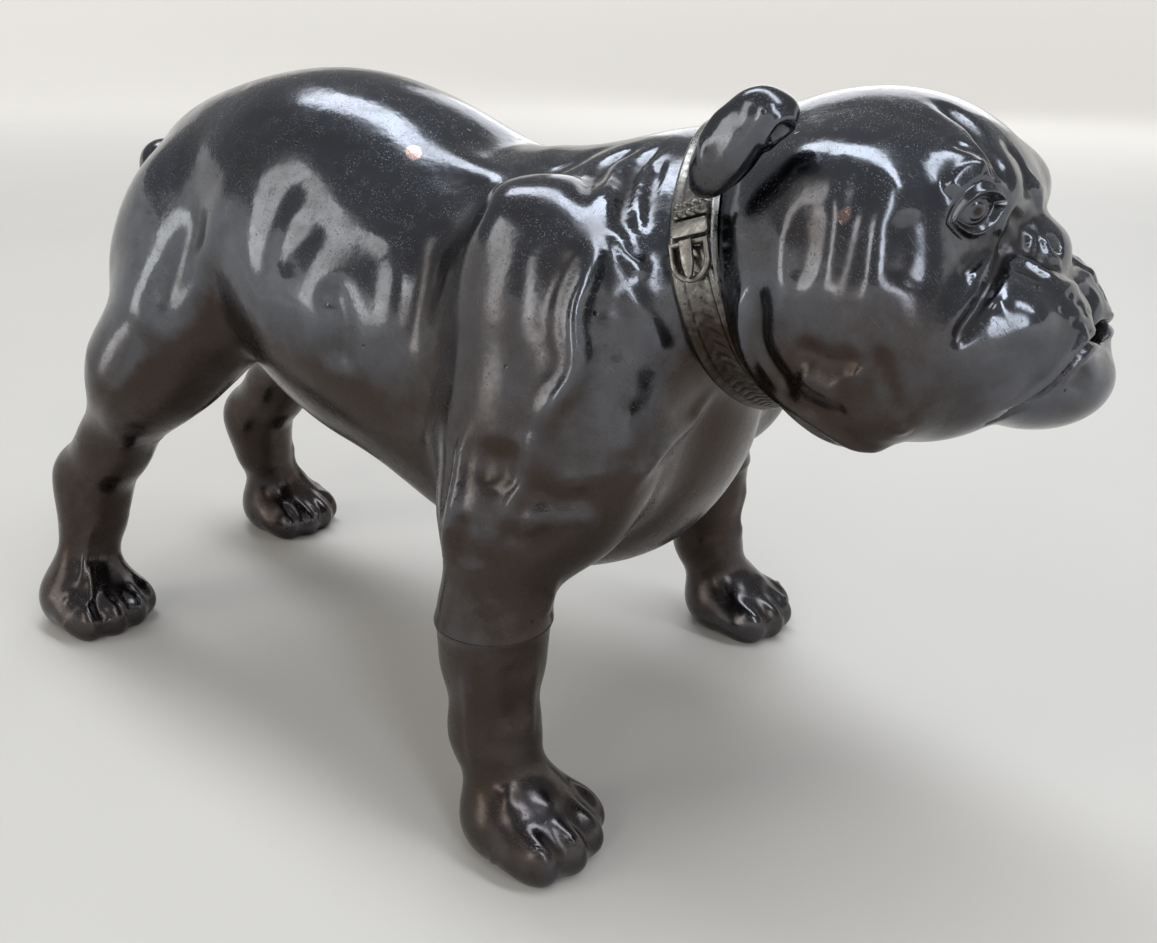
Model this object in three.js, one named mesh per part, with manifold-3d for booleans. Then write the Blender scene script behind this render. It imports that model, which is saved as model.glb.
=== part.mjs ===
// Bulldog figurine: a standing English bulldog with a buckled collar, in plated cast metal.
// Millimetres, +Z up, +X towards the nose, +Y towards the dog's left.
// The dog is one field of distances, made of blended muscle forms. Each casting is a skin of that
// field, cut at its solder seams, hollow where the real casting is hollow.
import * as THREE from 'three';
import { mergeVertices } from 'three/addons/utils/BufferGeometryUtils.js';
import Module from 'manifold-3d';

const wasm = await Module();
wasm.setup();

// Clearance left between two pieces that are soldered or seated together
const gap = 0.3;

// Stance
const shoulderX = 44;
const hipX = -29;
const frontPawAhead = 6;
const hindPawBehind = 22;
const frontTrack = 72;
const hindTrack = 50;
const backHeight = 96.5;

// Trunk
const ribs = { length: 80, width: 58, depth: 52, behindShoulder: 32, belowBack: 7, pitch: -16 };
const loin = { length: 56, width: 41, depth: 38, aheadOfHip: 20 };
const rump = { length: 31, width: 29, depth: 35, belowBack: 7, pitch: 30 };
const brisket = { length: 54, width: 54, depth: 57.5, height: 54.5, behindShoulder: 7.5, pitch: -12 };
const neck = { depth: 36, taper: 8, height: 69.3, rise: 10.2, behindShoulder: 6, behindHead: 8 };
const mane = { length: 38, width: 48, depth: 31, aheadOfShoulder: 12, aboveNeck: 4.7 };

// Forelegs: a blade and an upper arm on the trunk, then a tapering leg down to the paw.
// Each inset is measured in from the middle of the paw.
const blade = { length: 30, width: 28, depth: 44, ahead: 2, inset: 15, height: 65, pitch: 12 };
const arm = { length: 28, width: 22, depth: 30, ahead: 1.5, inset: 9.5, height: 51.5 };
const elbow = { diameter: 14, ahead: -0.5, inset: 3, height: 45 };
const forearm = { diameter: 12.4, ahead: -1, inset: 2, height: 27, overlap: 5, top: 13 };
const wrist = { diameter: 10.6, ahead: -0.2, inset: 1, height: 16 };
const foreSeamHeight = 32;

// Hind legs: a thigh of two forms, a calf and shank that slant back to the hock, and a pastern
const thigh = { length: 29, width: 20, depth: 40, ahead: -2, inset: 12, height: 63, pitch: -12 };
const stifle = { length: 20, width: 16, depth: 24, ahead: 3, inset: 9, height: 60, pitch: -20 };
const knee = { diameter: 15, ahead: -1, inset: 7, height: 58 };
const calf = { diameter: 17, ahead: -6, inset: 5.5, height: 49 };
const shank = { diameter: 11, ahead: -17.5, inset: 5, height: 33 };
const hock = { diameter: 9.8, ahead: -23.5, inset: 4.75, height: 26, heel: 6.8, heelBack: 1.4, heelDrop: 8 };
const hindSeamHeight = 36;

// Paws: a pad and four toes
const paw = { length: 20, width: 18.5, height: 12.5, ankleBack: 3, padBack: 1.5 };
const toe = { height: 6.6, spread: 10, pitch: -14, rise: 0.2, plump: 0.6 };

// Head. The forms are placed from its middle: ahead, to the side and up.
const headX = 78;
const headZ = 80;
const headTurn = -2;
const headRoll = 4;
const skull = { length: 38, width: 44, depth: 29, ahead: 0, side: 0, up: 3 };
const cheek = { length: 25, width: 20, depth: 28, ahead: 1.5, side: 16.5, up: -3 };
const jowl = { length: 21, width: 15, depth: 22, ahead: 6, side: 18.5, up: -11.2, pitch: -15 };
const throat = { length: 34, width: 34, depth: 19, ahead: 4.5, side: 0, up: -11.5 };
const brow = { length: 16, width: 15, depth: 11, ahead: 9.6, side: 9.5, up: 6.6 };
const flew = { length: 26, width: 20, depth: 21, ahead: 11.5, side: 11.5, up: -11, pitch: 25 };
const lip = { length: 19.6, width: 17, depth: 15.2, ahead: 18.6, side: 6.5, up: -7.7, pitch: -30 };
const underjaw = { length: 19, width: 25, depth: 13, ahead: 20.5, side: 0, up: -14 };
const muzzle = { length: 16, width: 16, depth: 12, ahead: 15, side: 0, up: -3 };
const nose = { length: 7.6, width: 11, depth: 6, ahead: 18.5, side: 0, up: 0.6 };
const socket = { length: 7.6, width: 6, depth: 6.6, ahead: 14.9, side: 16.2, up: 5.4 };
const eyeball = { diameter: 6.4, back: 1.2, inset: 1.6 };
const ear = { length: 14.2, width: 6, depth: 10, ahead: -8, side: 24, up: 9.8, pitch: 55 };
const earMouth = { length: 6.8, width: 4.8, depth: 2.8, ahead: -3, side: 24, up: 10.8, pitch: 50 };

// Tail, hanging from the rump
const tail = { length: 21, root: 9, middle: 8, tip: 5, behindRump: 1.5, aboveRump: 6, bend: 6.5 };

// Fillets where forms join
const fillet = {
  trunk: 10, neck: 6, limb: 6, leg: 4, hindLeg: 3.5, paw: 1.6,
  head: 5, face: 2.4, eye: 0.8, all: 3.5,
};

// Castings: walls, the sleeve that joins the head to the body, and the pegs that join the legs
const bodyWall = 3;
const headWall = 3.5;
const sleeve = { outside: 24, wall: 2, length: 14 };
const neckMouth = { intoBody: 30, intoHead: 16 };
const peg = { diameter: 5, length: 6, root: 4 };

// Collar, drawn on the plane where the head meets the body
const collarX = 65.3;
const collarZ = 73;
const collarTilt = 18;
const strap = { width: 6.4, thickness: 1.2, crown: 0.2, lift: 0.35 };
const strapSteps = 48;
const buckleAngle = 76;
const buckle = { length: 4.6, width: 4.6, bar: 0.65, thickness: 0.9 };
const tongue = { width: 0.8, thickness: 0.6 };
const keeper = { length: 2, width: 4.4, thickness: 0.8, corner: 0.4, spacing: 0.35 };

// Facet sizes: how finely each casting's skin is divided, and the room left round it
const bodyFacet = 4.5;
const coreFacet = 8;
const headFacet = 3;
const headCoreFacet = 6;
const legFacet = 2.7;
const smallFacet = 1.7;
const margin = 8;

const radians = THREE.MathUtils.degToRad;

// Fields: each is a function of x, y, z that gives the distance to a surface, negative inside

function egg([cx, cy, cz], [a, b, c], pitch = 0, yaw = 0) {
  const cp = Math.cos(radians(pitch));
  const sp = Math.sin(radians(pitch));
  const cw = Math.cos(radians(yaw));
  const sw = Math.sin(radians(yaw));
  return (x, y, z) => {
    const dx = x - cx;
    const dy = y - cy;
    const dz = z - cz;
    const ux = cw * dx + sw * dy;
    const v = (cw * dy - sw * dx) / b;
    const u = (cp * ux + sp * dz) / a;
    const w = (cp * dz - sp * ux) / c;
    const reach = Math.sqrt(u * u + v * v + w * w);
    const slope = Math.sqrt((u / a) ** 2 + (v / b) ** 2 + (w / c) ** 2);
    return slope < 1e-9 ? -Math.min(a, b, c) : reach * (reach - 1) / slope;
  };
}

// An egg with a form's length, width, depth and pitch
function eggOf(form, x, y, z) {
  return egg([x, y, z], [form.length / 2, form.width / 2, form.depth / 2], form.pitch);
}

// A round bar from one point to another, with its own diameter at each end
function bar([ax, ay, az], [bx, by, bz], startDiameter, endDiameter) {
  const ux = bx - ax;
  const uy = by - ay;
  const uz = bz - az;
  const length2 = ux * ux + uy * uy + uz * uz;
  return (x, y, z) => {
    const t = Math.min(1, Math.max(0, ((x - ax) * ux + (y - ay) * uy + (z - az) * uz) / length2));
    const diameter = startDiameter + (endDiameter - startDiameter) * t;
    return Math.hypot(x - ax - ux * t, y - ay - uy * t, z - az - uz * t) - diameter / 2;
  };
}

function softMin(a, b, k) {
  const h = Math.max(k - Math.abs(a - b), 0) / k;
  return Math.min(a, b) - h * h * k / 4;
}

// Joins forms with a fillet of about the given size
function blend(k, ...forms) {
  return (x, y, z) => {
    let d = forms[0](x, y, z);
    for (let i = 1; i < forms.length; i++) d = softMin(d, forms[i](x, y, z), k);
    return d;
  };
}

function carve(k, form, hollow) {
  return (x, y, z) => -softMin(-form(x, y, z), hollow(x, y, z), k);
}

const bothSides = form => (x, y, z) => form(x, Math.abs(y), z);

const grown = (form, by) => (x, y, z) => form(x, y, z) - by;

// Trunk: ribs, loin, rump, brisket and neck
const rumpZ = backHeight - rump.belowBack - rump.depth / 2;
const trunk = blend(
  fillet.trunk,
  eggOf(ribs, shoulderX - ribs.behindShoulder, 0, backHeight - ribs.belowBack - ribs.depth / 2),
  eggOf(loin, hipX + loin.aheadOfHip, 0, backHeight - loin.depth / 2),
  eggOf(rump, hipX, 0, rumpZ),
  eggOf(brisket, shoulderX - brisket.behindShoulder, 0, brisket.height),
);
const neckRoot = bar(
  [shoulderX - neck.behindShoulder, 0, neck.height],
  [headX - neck.behindHead, 0, neck.height + neck.rise],
  neck.depth,
  neck.depth - neck.taper,
);
const neckSides = eggOf(mane, shoulderX + mane.aheadOfShoulder, 0, neck.height + mane.aboveNeck);

// A paw about the given place: four toes that fan out, and the pad behind them
function pawForm(x, y) {
  const toes = [-0.62, -0.22, 0.22, 0.62].map((side, i) => {
    const ahead = i === 1 || i === 2 ? 0.25 : 0.15;
    const at = [x + ahead * paw.length, y + side * paw.width / 2, toe.height / 2 + toe.rise];
    const size = [paw.length / 4, paw.width * 0.135, toe.height / 2 + toe.plump];
    return egg(at, size, toe.pitch, side * toe.spread);
  });
  const padSize = [paw.length * 0.4, paw.width * 0.44, paw.height * 0.5];
  return blend(fillet.paw, ...toes, egg([x - paw.padBack, y, paw.height * 0.36], padSize));
}

// Forelegs: shoulder blade, upper arm, forearm and paw
const frontPawX = shoulderX + frontPawAhead;
const frontY = frontTrack / 2;
const onForeleg = form => [shoulderX + form.ahead, frontY - form.inset, form.height];
const elbowAt = onForeleg(elbow);
const forearmAt = onForeleg(forearm);
const wristAt = onForeleg(wrist);
const shoulder = blend(
  fillet.limb,
  eggOf(blade, ...onForeleg(blade)),
  eggOf(arm, ...onForeleg(arm)),
  bar(elbowAt, forearmAt, elbow.diameter, forearm.diameter),
);
const foreShank = blend(
  fillet.leg,
  bar([forearmAt[0], forearmAt[1], forearmAt[2] + forearm.overlap], wristAt, forearm.top, wrist.diameter),
  bar(wristAt, [frontPawX - paw.ankleBack, frontY, paw.height / 2], wrist.diameter, wrist.diameter - 0.8),
  pawForm(frontPawX, frontY),
);

// Hind legs: thigh, shank, hock and paw
const hindPawX = hipX - hindPawBehind;
const hindY = hindTrack / 2;
const onHindLeg = form => [hipX + form.ahead, hindY - form.inset, form.height];
const kneeAt = onHindLeg(knee);
const calfAt = onHindLeg(calf);
const shankAt = onHindLeg(shank);
const hockAt = onHindLeg(hock);
const heelAt = [hockAt[0] - hock.heelBack, hockAt[1], hockAt[2] + 1];
const upperHind = blend(
  fillet.limb,
  eggOf(thigh, ...onHindLeg(thigh)),
  eggOf(stifle, ...onHindLeg(stifle)),
  bar(kneeAt, calfAt, knee.diameter, calf.diameter),
  bar(calfAt, shankAt, calf.diameter, shank.diameter),
);
const hindShank = blend(
  fillet.hindLeg,
  bar(shankAt, hockAt, shank.diameter, hock.diameter),
  bar(heelAt, [hockAt[0] - 0.6, hockAt[1], hockAt[2] - hock.heelDrop], hock.heel, hock.heel),
  bar(hockAt, [hindPawX - paw.ankleBack, hindY, paw.height / 2], hock.diameter, hock.diameter - 0.8),
  pawForm(hindPawX, hindY),
);

const legs = bothSides(blend(fillet.leg, foreShank, hindShank));
const limbs = bothSides(blend(fillet.limb, shoulder, upperHind));
const body = blend(fillet.neck, trunk, limbs, neckSides, neckRoot);

// Head: skull, brows, cheeks, flews, underjaw and nose.
// It turns a little to the right about the neck, and its right side is a little higher.
const onHead = form => [headX + form.ahead, form.side, headZ + form.up];
const headForm = form => eggOf(form, ...onHead(form));
const turnCos = Math.cos(radians(headTurn));
const turnSin = Math.sin(radians(headTurn));
const rollCos = Math.cos(radians(headRoll));
const rollSin = Math.sin(radians(headRoll));
const turned = form => (x, y, z) => {
  const dx = x - collarX;
  const dz = z - collarZ;
  const ahead = turnCos * dx + turnSin * y;
  const side = turnCos * y - turnSin * dx;
  return form(collarX + ahead, rollCos * side - rollSin * dz, collarZ + rollCos * dz + rollSin * side);
};
const headMass = blend(
  fillet.head,
  headForm(skull),
  bothSides(headForm(cheek)),
  bothSides(headForm(jowl)),
  headForm(throat),
);
const face = blend(
  fillet.face,
  headMass,
  bothSides(headForm(brow)),
  bothSides(headForm(flew)),
  bothSides(headForm(lip)),
  headForm(underjaw),
  headForm(muzzle),
  headForm(nose),
);
const eyeAt = [headX + socket.ahead - eyeball.back, socket.side - eyeball.inset, headZ + socket.up];
const eyeRadius = eyeball.diameter / 2;
const head = turned(blend(
  fillet.eye,
  carve(1.5 * fillet.eye, face, bothSides(headForm(socket))),
  bothSides(egg(eyeAt, [eyeRadius, eyeRadius, eyeRadius])),
));
const dog = blend(fillet.all, blend(fillet.leg, body, legs), head);

// Ears: folded flaps with an opening at the fold
const earForm = turned(bothSides(carve(fillet.eye, headForm(ear), headForm(earMouth))));
const earAt = onHead(ear);

// Tail: short, lying against the rump
const tailRoot = [hipX - rump.length / 2 - tail.behindRump, 0, rumpZ + tail.aboveRump];
const tailBend = [tailRoot[0] - tail.bend, 0, tailRoot[2] - tail.length * 0.4];
const tailTip = [tailBend[0] + tail.behindRump, 0, tailRoot[2] - tail.length];
const tailForm = blend(
  fillet.paw,
  bar(tailRoot, tailBend, tail.root, tail.middle),
  bar(tailBend, tailTip, tail.middle, tail.tip),
);

// Skins: closed meshes of a field, with one vertex in each cell that the surface crosses

const corners = [[0, 0, 0], [1, 0, 0], [0, 1, 0], [1, 1, 0], [0, 0, 1], [1, 0, 1], [0, 1, 1], [1, 1, 1]];
const cellEdges = corners.flatMap((_, n) => [1, 2, 4].filter(axis => !(n & axis)).map(axis => [n, n + axis]));

// Fills the outside corners where two inside corners meet only at an edge or a point of the grid,
// so that the skin never touches itself
function joinLooseCorners(value, count, stride) {
  const fill = -1e-3;
  let changed = true;
  while (changed) {
    changed = false;
    for (let k = 0; k < count[2] - 1; k++) {
      for (let j = 0; j < count[1] - 1; j++) {
        for (let i = 0; i < count[0] - 1; i++) {
          const at = i + j * stride[1] + k * stride[2];
          for (const [u, v] of [[1, stride[1]], [1, stride[2]], [stride[1], stride[2]]]) {
            const inside = [at, at + u, at + u + v, at + v].map(n => value[n] < 0);
            if (inside[0] === inside[2] && inside[1] === inside[3] && inside[0] !== inside[1]) {
              value[inside[0] ? at + u : at] = fill;
              changed = true;
            }
          }
          const cube = corners.map(c => at + c[0] + c[1] * stride[1] + c[2] * stride[2]);
          for (let c = 0; c < 4; c++) {
            const pair = [cube[c], cube[7 - c]];
            const rest = cube.filter(n => !pair.includes(n));
            const alone = pair.every(n => value[n] < 0) && rest.every(n => value[n] >= 0);
            const holes = pair.every(n => value[n] >= 0) && rest.every(n => value[n] < 0);
            if (alone) value[rest[0]] = fill;
            if (holes) value[pair[0]] = fill;
            changed = changed || alone || holes;
          }
        }
      }
    }
  }
}

function skin(field, low, high, step) {
  const count = low.map((l, i) => Math.ceil((high[i] - l) / step) + 1);
  const stride = [1, count[0], count[0] * count[1]];
  const value = new Float64Array(count[0] * count[1] * count[2]).fill(1);
  for (let k = 1; k < count[2] - 1; k++) {
    for (let j = 1; j < count[1] - 1; j++) {
      for (let i = 1; i < count[0] - 1; i++) {
        const d = field(low[0] + i * step, low[1] + j * step, low[2] + k * step);
        value[i + j * stride[1] + k * stride[2]] = d;
      }
    }
  }
  joinLooseCorners(value, count, stride);

  const cellVertex = new Map();
  const points = [];
  for (let k = 0; k < count[2] - 1; k++) {
    for (let j = 0; j < count[1] - 1; j++) {
      for (let i = 0; i < count[0] - 1; i++) {
        const at = i + j * stride[1] + k * stride[2];
        const cube = corners.map(c => value[at + c[0] + c[1] * stride[1] + c[2] * stride[2]]);
        const crossed = cellEdges.filter(([a, b]) => cube[a] < 0 !== cube[b] < 0);
        if (!crossed.length) continue;
        const sum = new THREE.Vector3();
        for (const [a, b] of crossed) {
          const t = cube[a] / (cube[a] - cube[b]);
          const place = corners[a].map((c, n) => c + (corners[b][n] - c) * t);
          sum.add(new THREE.Vector3(i + place[0], j + place[1], k + place[2]));
        }
        cellVertex.set(at, points.length);
        points.push(sum.multiplyScalar(step / crossed.length).add(new THREE.Vector3(...low)));
      }
    }
  }

  const quads = [];
  for (let k = 0; k < count[2] - 1; k++) {
    for (let j = 0; j < count[1] - 1; j++) {
      for (let i = 0; i < count[0] - 1; i++) {
        const at = i + j * stride[1] + k * stride[2];
        for (let axis = 0; axis < 3; axis++) {
          const inside = value[at] < 0;
          if (inside === value[at + stride[axis]] < 0) continue;
          const u = stride[(axis + 1) % 3];
          const v = stride[(axis + 2) % 3];
          const ring = [at - u - v, at - v, at, at - u].map(n => cellVertex.get(n));
          quads.push(inside ? ring : ring.reverse());
        }
      }
    }
  }
  settle(field, points, quads, step);
  return toSolid(points, quads);
}

// Evens out the vertices and lays them on the true surface
function settle(field, points, quads, step) {
  const start = points.map(p => p.clone());
  const near = points.map(() => new Set());
  for (const quad of quads) {
    for (let n = 0; n < 4; n++) {
      near[quad[n]].add(quad[(n + 1) % 4]);
      near[quad[(n + 1) % 4]].add(quad[n]);
    }
  }
  const probe = 0.02;
  const slope = new THREE.Vector3();
  for (let round = 0; round < 4; round++) {
    const even = points.map((p, i) => {
      const mean = new THREE.Vector3();
      for (const n of near[i]) mean.add(points[n]);
      return mean.multiplyScalar(1 / near[i].size).lerp(p, round < 3 ? 0.5 : 1);
    });
    even.forEach((p, i) => {
      for (let pull = 0; pull < 2; pull++) {
        const d = field(p.x, p.y, p.z);
        slope.set(field(p.x + probe, p.y, p.z), field(p.x, p.y + probe, p.z), field(p.x, p.y, p.z + probe));
        slope.subScalar(d).divideScalar(probe);
        const steep = slope.lengthSq();
        if (steep > 0.05) p.addScaledVector(slope, -d / steep);
      }
      const drift = p.clone().sub(start[i]);
      points[i].copy(start[i]).add(drift.clampLength(0, step * 0.6));
    });
  }
}

function toManifold(places, triangles) {
  const vertProperties = new Float32Array(places);
  const triVerts = new Uint32Array(triangles);
  return new wasm.Manifold(new wasm.Mesh({ numProp: 3, vertProperties, triVerts }));
}

function toSolid(points, quads) {
  const triangles = [];
  for (const [a, b, c, d] of quads) {
    const shortAC = points[a].distanceToSquared(points[c]) <= points[b].distanceToSquared(points[d]);
    triangles.push(...(shortAC ? [a, b, c, a, c, d] : [b, c, d, b, d, a]));
  }
  return toManifold(points.flatMap(p => [p.x, p.y, p.z]), triangles);
}

// Solids from three.js geometry, for cutting and joining
function solid(geometry) {
  const bare = geometry.clone();
  bare.deleteAttribute('normal');
  bare.deleteAttribute('uv');
  const merged = mergeVertices(bare, 1e-5);
  return toManifold(merged.attributes.position.array, merged.index.array);
}

function block(low, high) {
  const size = low.map((l, i) => high[i] - l);
  const geometry = new THREE.BoxGeometry(...size);
  return solid(geometry.translate(...low.map((l, i) => l + size[i] / 2)));
}

const collarPlace = new THREE.Matrix4()
  .makeTranslation(collarX, 0, collarZ)
  .multiply(new THREE.Matrix4().makeRotationY(radians(-collarTilt)));

// Places geometry, drawn about the origin with +X along the neck, on the collar's plane
const onCollar = geometry => solid(geometry.applyMatrix4(collarPlace));

// A round plug along the neck, from one distance ahead of the collar's plane to another
function neckPlug(from, to, diameter) {
  const geometry = new THREE.CylinderGeometry(diameter / 2, diameter / 2, to - from, 32);
  return onCollar(geometry.rotateZ(-Math.PI / 2).translate((from + to) / 2, 0, 0));
}

// A round peg that starts inside one casting and ends in the next
function legPeg(at, towards, from, to, diameter) {
  const axis = new THREE.Vector3(...towards).sub(new THREE.Vector3(...at)).normalize();
  const geometry = new THREE.CylinderGeometry(diameter / 2, diameter / 2, to - from, 16);
  geometry.translate(0, (from + to) / 2, 0);
  geometry.applyQuaternion(new THREE.Quaternion().setFromUnitVectors(new THREE.Vector3(0, 1, 0), axis));
  return solid(geometry.translate(...at));
}

const group = new THREE.Group();

function addPiece(name, manifold, color, roughness) {
  const mesh = manifold.getMesh();
  const geometry = new THREE.BufferGeometry();
  const points = [];
  for (let i = 0; i < mesh.vertProperties.length; i += mesh.numProp) {
    points.push(...mesh.vertProperties.slice(i, i + 3));
  }
  geometry.setAttribute('position', new THREE.Float32BufferAttribute(points, 3));
  geometry.setIndex([...mesh.triVerts]);
  geometry.computeVertexNormals();
  const material = new THREE.MeshStandardMaterial({ color, roughness, metalness: 1 });
  const piece = new THREE.Mesh(geometry, material);
  piece.name = name;
  group.add(piece);
}

const plate = 0x55524f;
const strapMetal = 0x7d7768;
const buckleMetal = 0x8d8778;
const brass = 0xa58a4f;

// Blocks that reach past the whole dog, and the room that each skin is made in
const farLow = [-90, -70, -30];
const farHigh = [130, 70, 130];
const everywhere = 160;
const bodyLow = [hipX - rump.length / 2 - 3 * margin, -frontY - 2 * margin, -margin];
const bodyHigh = [shoulderX + 5 * margin, frontY + 2 * margin, backHeight + margin];
const headLow = [collarX - 2 * margin, -skull.width / 2 - 2 * margin, headZ - skull.depth - margin];
const headHigh = [headX + skull.length + margin, skull.width / 2 + 2 * margin, headZ + skull.depth];

const legReach = paw.length + margin / 2;
const legSide = paw.width * 0.85;
const nearLeg = (x, y, top) => [
  [x - legReach, y - legSide, -margin],
  [x + legReach, y + legSide, top + margin],
];

// The solder seams: one plane across the neck, and one across each leg
const collarCut = new THREE.BoxGeometry(everywhere, everywhere, everywhere);
const behindCollar = onCollar(collarCut.clone().translate(-(everywhere + gap) / 2, 0, 0));
const aheadOfCollar = onCollar(collarCut.clone().translate((everywhere + gap) / 2, 0, 0));
const foreSeamInside = frontY - legSide;
const belowForeSeam = side => block(
  [shoulderX - blade.length, side > 0 ? foreSeamInside : farLow[1], farLow[2]],
  [farHigh[0], side > 0 ? farHigh[1] : -foreSeamInside, foreSeamHeight],
);
const belowHindSeam = block(farLow, [kneeAt[0] + knee.diameter, farHigh[1], hindSeamHeight]);

// Where a leg's middle line passes its seam
function atHeight([ax, ay, az], [bx, by, bz], height) {
  const t = (height - az) / (bz - az);
  return [ax + (bx - ax) * t, ay + (by - ay) * t, height];
}
const foreAt = atHeight(elbowAt, forearmAt, foreSeamHeight);
const hindAt = atHeight(calfAt, shankAt, hindSeamHeight);
const mirrored = ([x, y, z], side) => [x, y * side, z];
const forePeg = (side, length, diameter) => (
  legPeg(mirrored(foreAt, side), mirrored(elbowAt, side), -peg.root, length, diameter)
);
const hindPeg = (side, length, diameter) => (
  legPeg(mirrored(hindAt, side), mirrored(calfAt, side), -peg.root, length, diameter)
);

// Trunk, with the upper forelegs and thighs, hollow and open at the neck
const sleeveBore = sleeve.outside - 2 * sleeve.wall;
const sleeveEnd = sleeve.length / 2;
const sleeveSeat = neckPlug(-sleeveEnd - gap, sleeveEnd + gap, sleeve.outside + 2 * gap);
const bodyCore = skin(grown(trunk, -bodyWall), bodyLow, bodyHigh, coreFacet);
let bodyCasting = skin(dog, bodyLow, bodyHigh, bodyFacet)
  .intersect(behindCollar)
  .subtract(bodyCore)
  .subtract(neckPlug(-neckMouth.intoBody, sleeveEnd, sleeveBore))
  .subtract(sleeveSeat)
  .subtract(belowHindSeam);
for (const side of [-1, 1]) {
  bodyCasting = bodyCasting
    .subtract(belowForeSeam(side))
    .subtract(forePeg(side, peg.length + gap, peg.diameter + 2 * gap))
    .subtract(hindPeg(side, peg.length + gap, peg.diameter + 2 * gap));
}
addPiece('body_casting', bodyCasting, plate, 0.2);

// Head, hollow and open at the neck
const headCore = skin(grown(turned(headMass), -headWall), headLow, headHigh, headCoreFacet);
const headCasting = skin(dog, headLow, headHigh, headFacet)
  .intersect(aheadOfCollar)
  .subtract(headCore)
  .subtract(neckPlug(-sleeveEnd, neckMouth.intoHead, sleeveBore))
  .subtract(sleeveSeat);
addPiece('head_casting', headCasting, plate, 0.2);

const neckSleeve = neckPlug(-sleeveEnd, sleeveEnd, sleeve.outside)
  .subtract(neckPlug(-sleeve.length, sleeve.length, sleeveBore));
addPiece('neck_sleeve', neckSleeve, brass, 0.4);

// Legs below their solder seams, each with a flat sole and a peg
const ground = block(farLow, [farHigh[0], farHigh[1], 0]);
for (const [sideName, side] of [['right', -1], ['left', 1]]) {
  const foreTop = foreSeamHeight - gap;
  const aboveFore = block([farLow[0], farLow[1], foreTop], farHigh);
  const foreleg = skin(dog, ...nearLeg(frontPawX, side * frontY, foreTop), legFacet)
    .subtract(aboveFore)
    .subtract(ground)
    .add(forePeg(side, peg.length, peg.diameter));
  addPiece('foreleg_' + sideName, foreleg, plate, 0.2);

  const hindTop = hindSeamHeight - gap;
  const aboveHind = block([farLow[0], farLow[1], hindTop], farHigh);
  const hindLeg = skin(dog, ...nearLeg(hindPawX, side * hindY, hindTop), legFacet)
    .subtract(aboveHind)
    .subtract(ground)
    .add(hindPeg(side, peg.length, peg.diameter));
  addPiece('hind_leg_' + sideName, hindLeg, plate, 0.2);
}

// Ears and tail, shaped to the castings that they are soldered on
const headSurface = skin(grown(dog, gap), headLow, headHigh, headFacet);
for (const [sideName, side] of [['right', -1], ['left', 1]]) {
  const earLow = [earAt[0] - ear.length, side * earAt[1] - ear.depth, earAt[2] - ear.length];
  const earHigh = [earAt[0] + ear.length, side * earAt[1] + ear.depth, earAt[2] + ear.length];
  addPiece('ear_' + sideName, skin(earForm, earLow, earHigh, smallFacet).subtract(headSurface), plate, 0.2);
}
const bodySurface = skin(grown(dog, gap), bodyLow, bodyHigh, bodyFacet);
const tailLow = [tailBend[0] - tail.root, -tail.root, tailTip[2] - tail.root];
const tailHigh = [tailRoot[0] + tail.root, tail.root, tailRoot[2] + tail.root];
addPiece('tail', skin(tailForm, tailLow, tailHigh, smallFacet).subtract(bodySurface), plate, 0.2);

// Collar: a strap round the neck, closed by a buckle on the right side, with two keepers above it.
// Places on the strap are an angle from the nape towards the right, and a distance ahead of its middle.
const half = strap.width / 2;
const strapTop = strap.lift + strap.thickness;

function fromNape(angle) {
  const turn = radians(angle);
  return new THREE.Vector3(0, -Math.sin(turn), Math.cos(turn)).transformDirection(collarPlace);
}

// How far the dog's surface is from the middle of the neck
function neckReach(angle, ahead) {
  const out = fromNape(angle);
  const middle = new THREE.Vector3(ahead, 0, 0).applyMatrix4(collarPlace);
  let reach = sleeve.outside / 2;
  for (let step = 0; step < 60; step++) {
    const place = middle.clone().addScaledVector(out, reach);
    reach -= 0.7 * dog(place.x, place.y, place.z);
  }
  return reach;
}

let girth = Array.from({ length: strapSteps }, (_, n) => {
  const angle = 360 * n / strapSteps;
  return Math.max(neckReach(angle, -half / 2), neckReach(angle, 0), neckReach(angle, half / 2));
});
for (let round = 0; round < 2; round++) {
  girth = girth.map((r, n) => {
    const before = girth[(n + strapSteps - 1) % strapSteps];
    const after = girth[(n + 1) % strapSteps];
    return Math.max(r, (before + 2 * r + after) / 4);
  });
}

function girthAt(angle) {
  const at = angle * strapSteps / 360;
  const n = Math.floor(at);
  return THREE.MathUtils.lerp(girth[n % strapSteps], girth[(n + 1) % strapSteps], at - n);
}

function onNeck(angle, ahead, lift) {
  const middle = new THREE.Vector3(ahead, 0, 0).applyMatrix4(collarPlace);
  return middle.addScaledVector(fromNape(angle), girthAt(angle) + lift);
}

const strapSection = [
  [-half, strap.lift], [half, strap.lift],
  [half, strapTop - strap.crown], [0, strapTop], [-half, strapTop - strap.crown],
];
const strapPoints = [];
const strapQuads = [];
for (let step = 0; step < strapSteps; step++) {
  strapSection.forEach(([ahead, lift], n) => {
    strapPoints.push(onNeck(360 * step / strapSteps, ahead, lift));
    const next = (n + 1) % strapSection.length;
    const here = step * strapSection.length;
    const there = (step + 1) % strapSteps * strapSection.length;
    strapQuads.push([here + n, here + next, there + next, there + n]);
  });
}
const castings = headSurface.add(bodySurface);
addPiece('collar_strap', toSolid(strapPoints, strapQuads).subtract(castings), strapMetal, 0.35);

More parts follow.
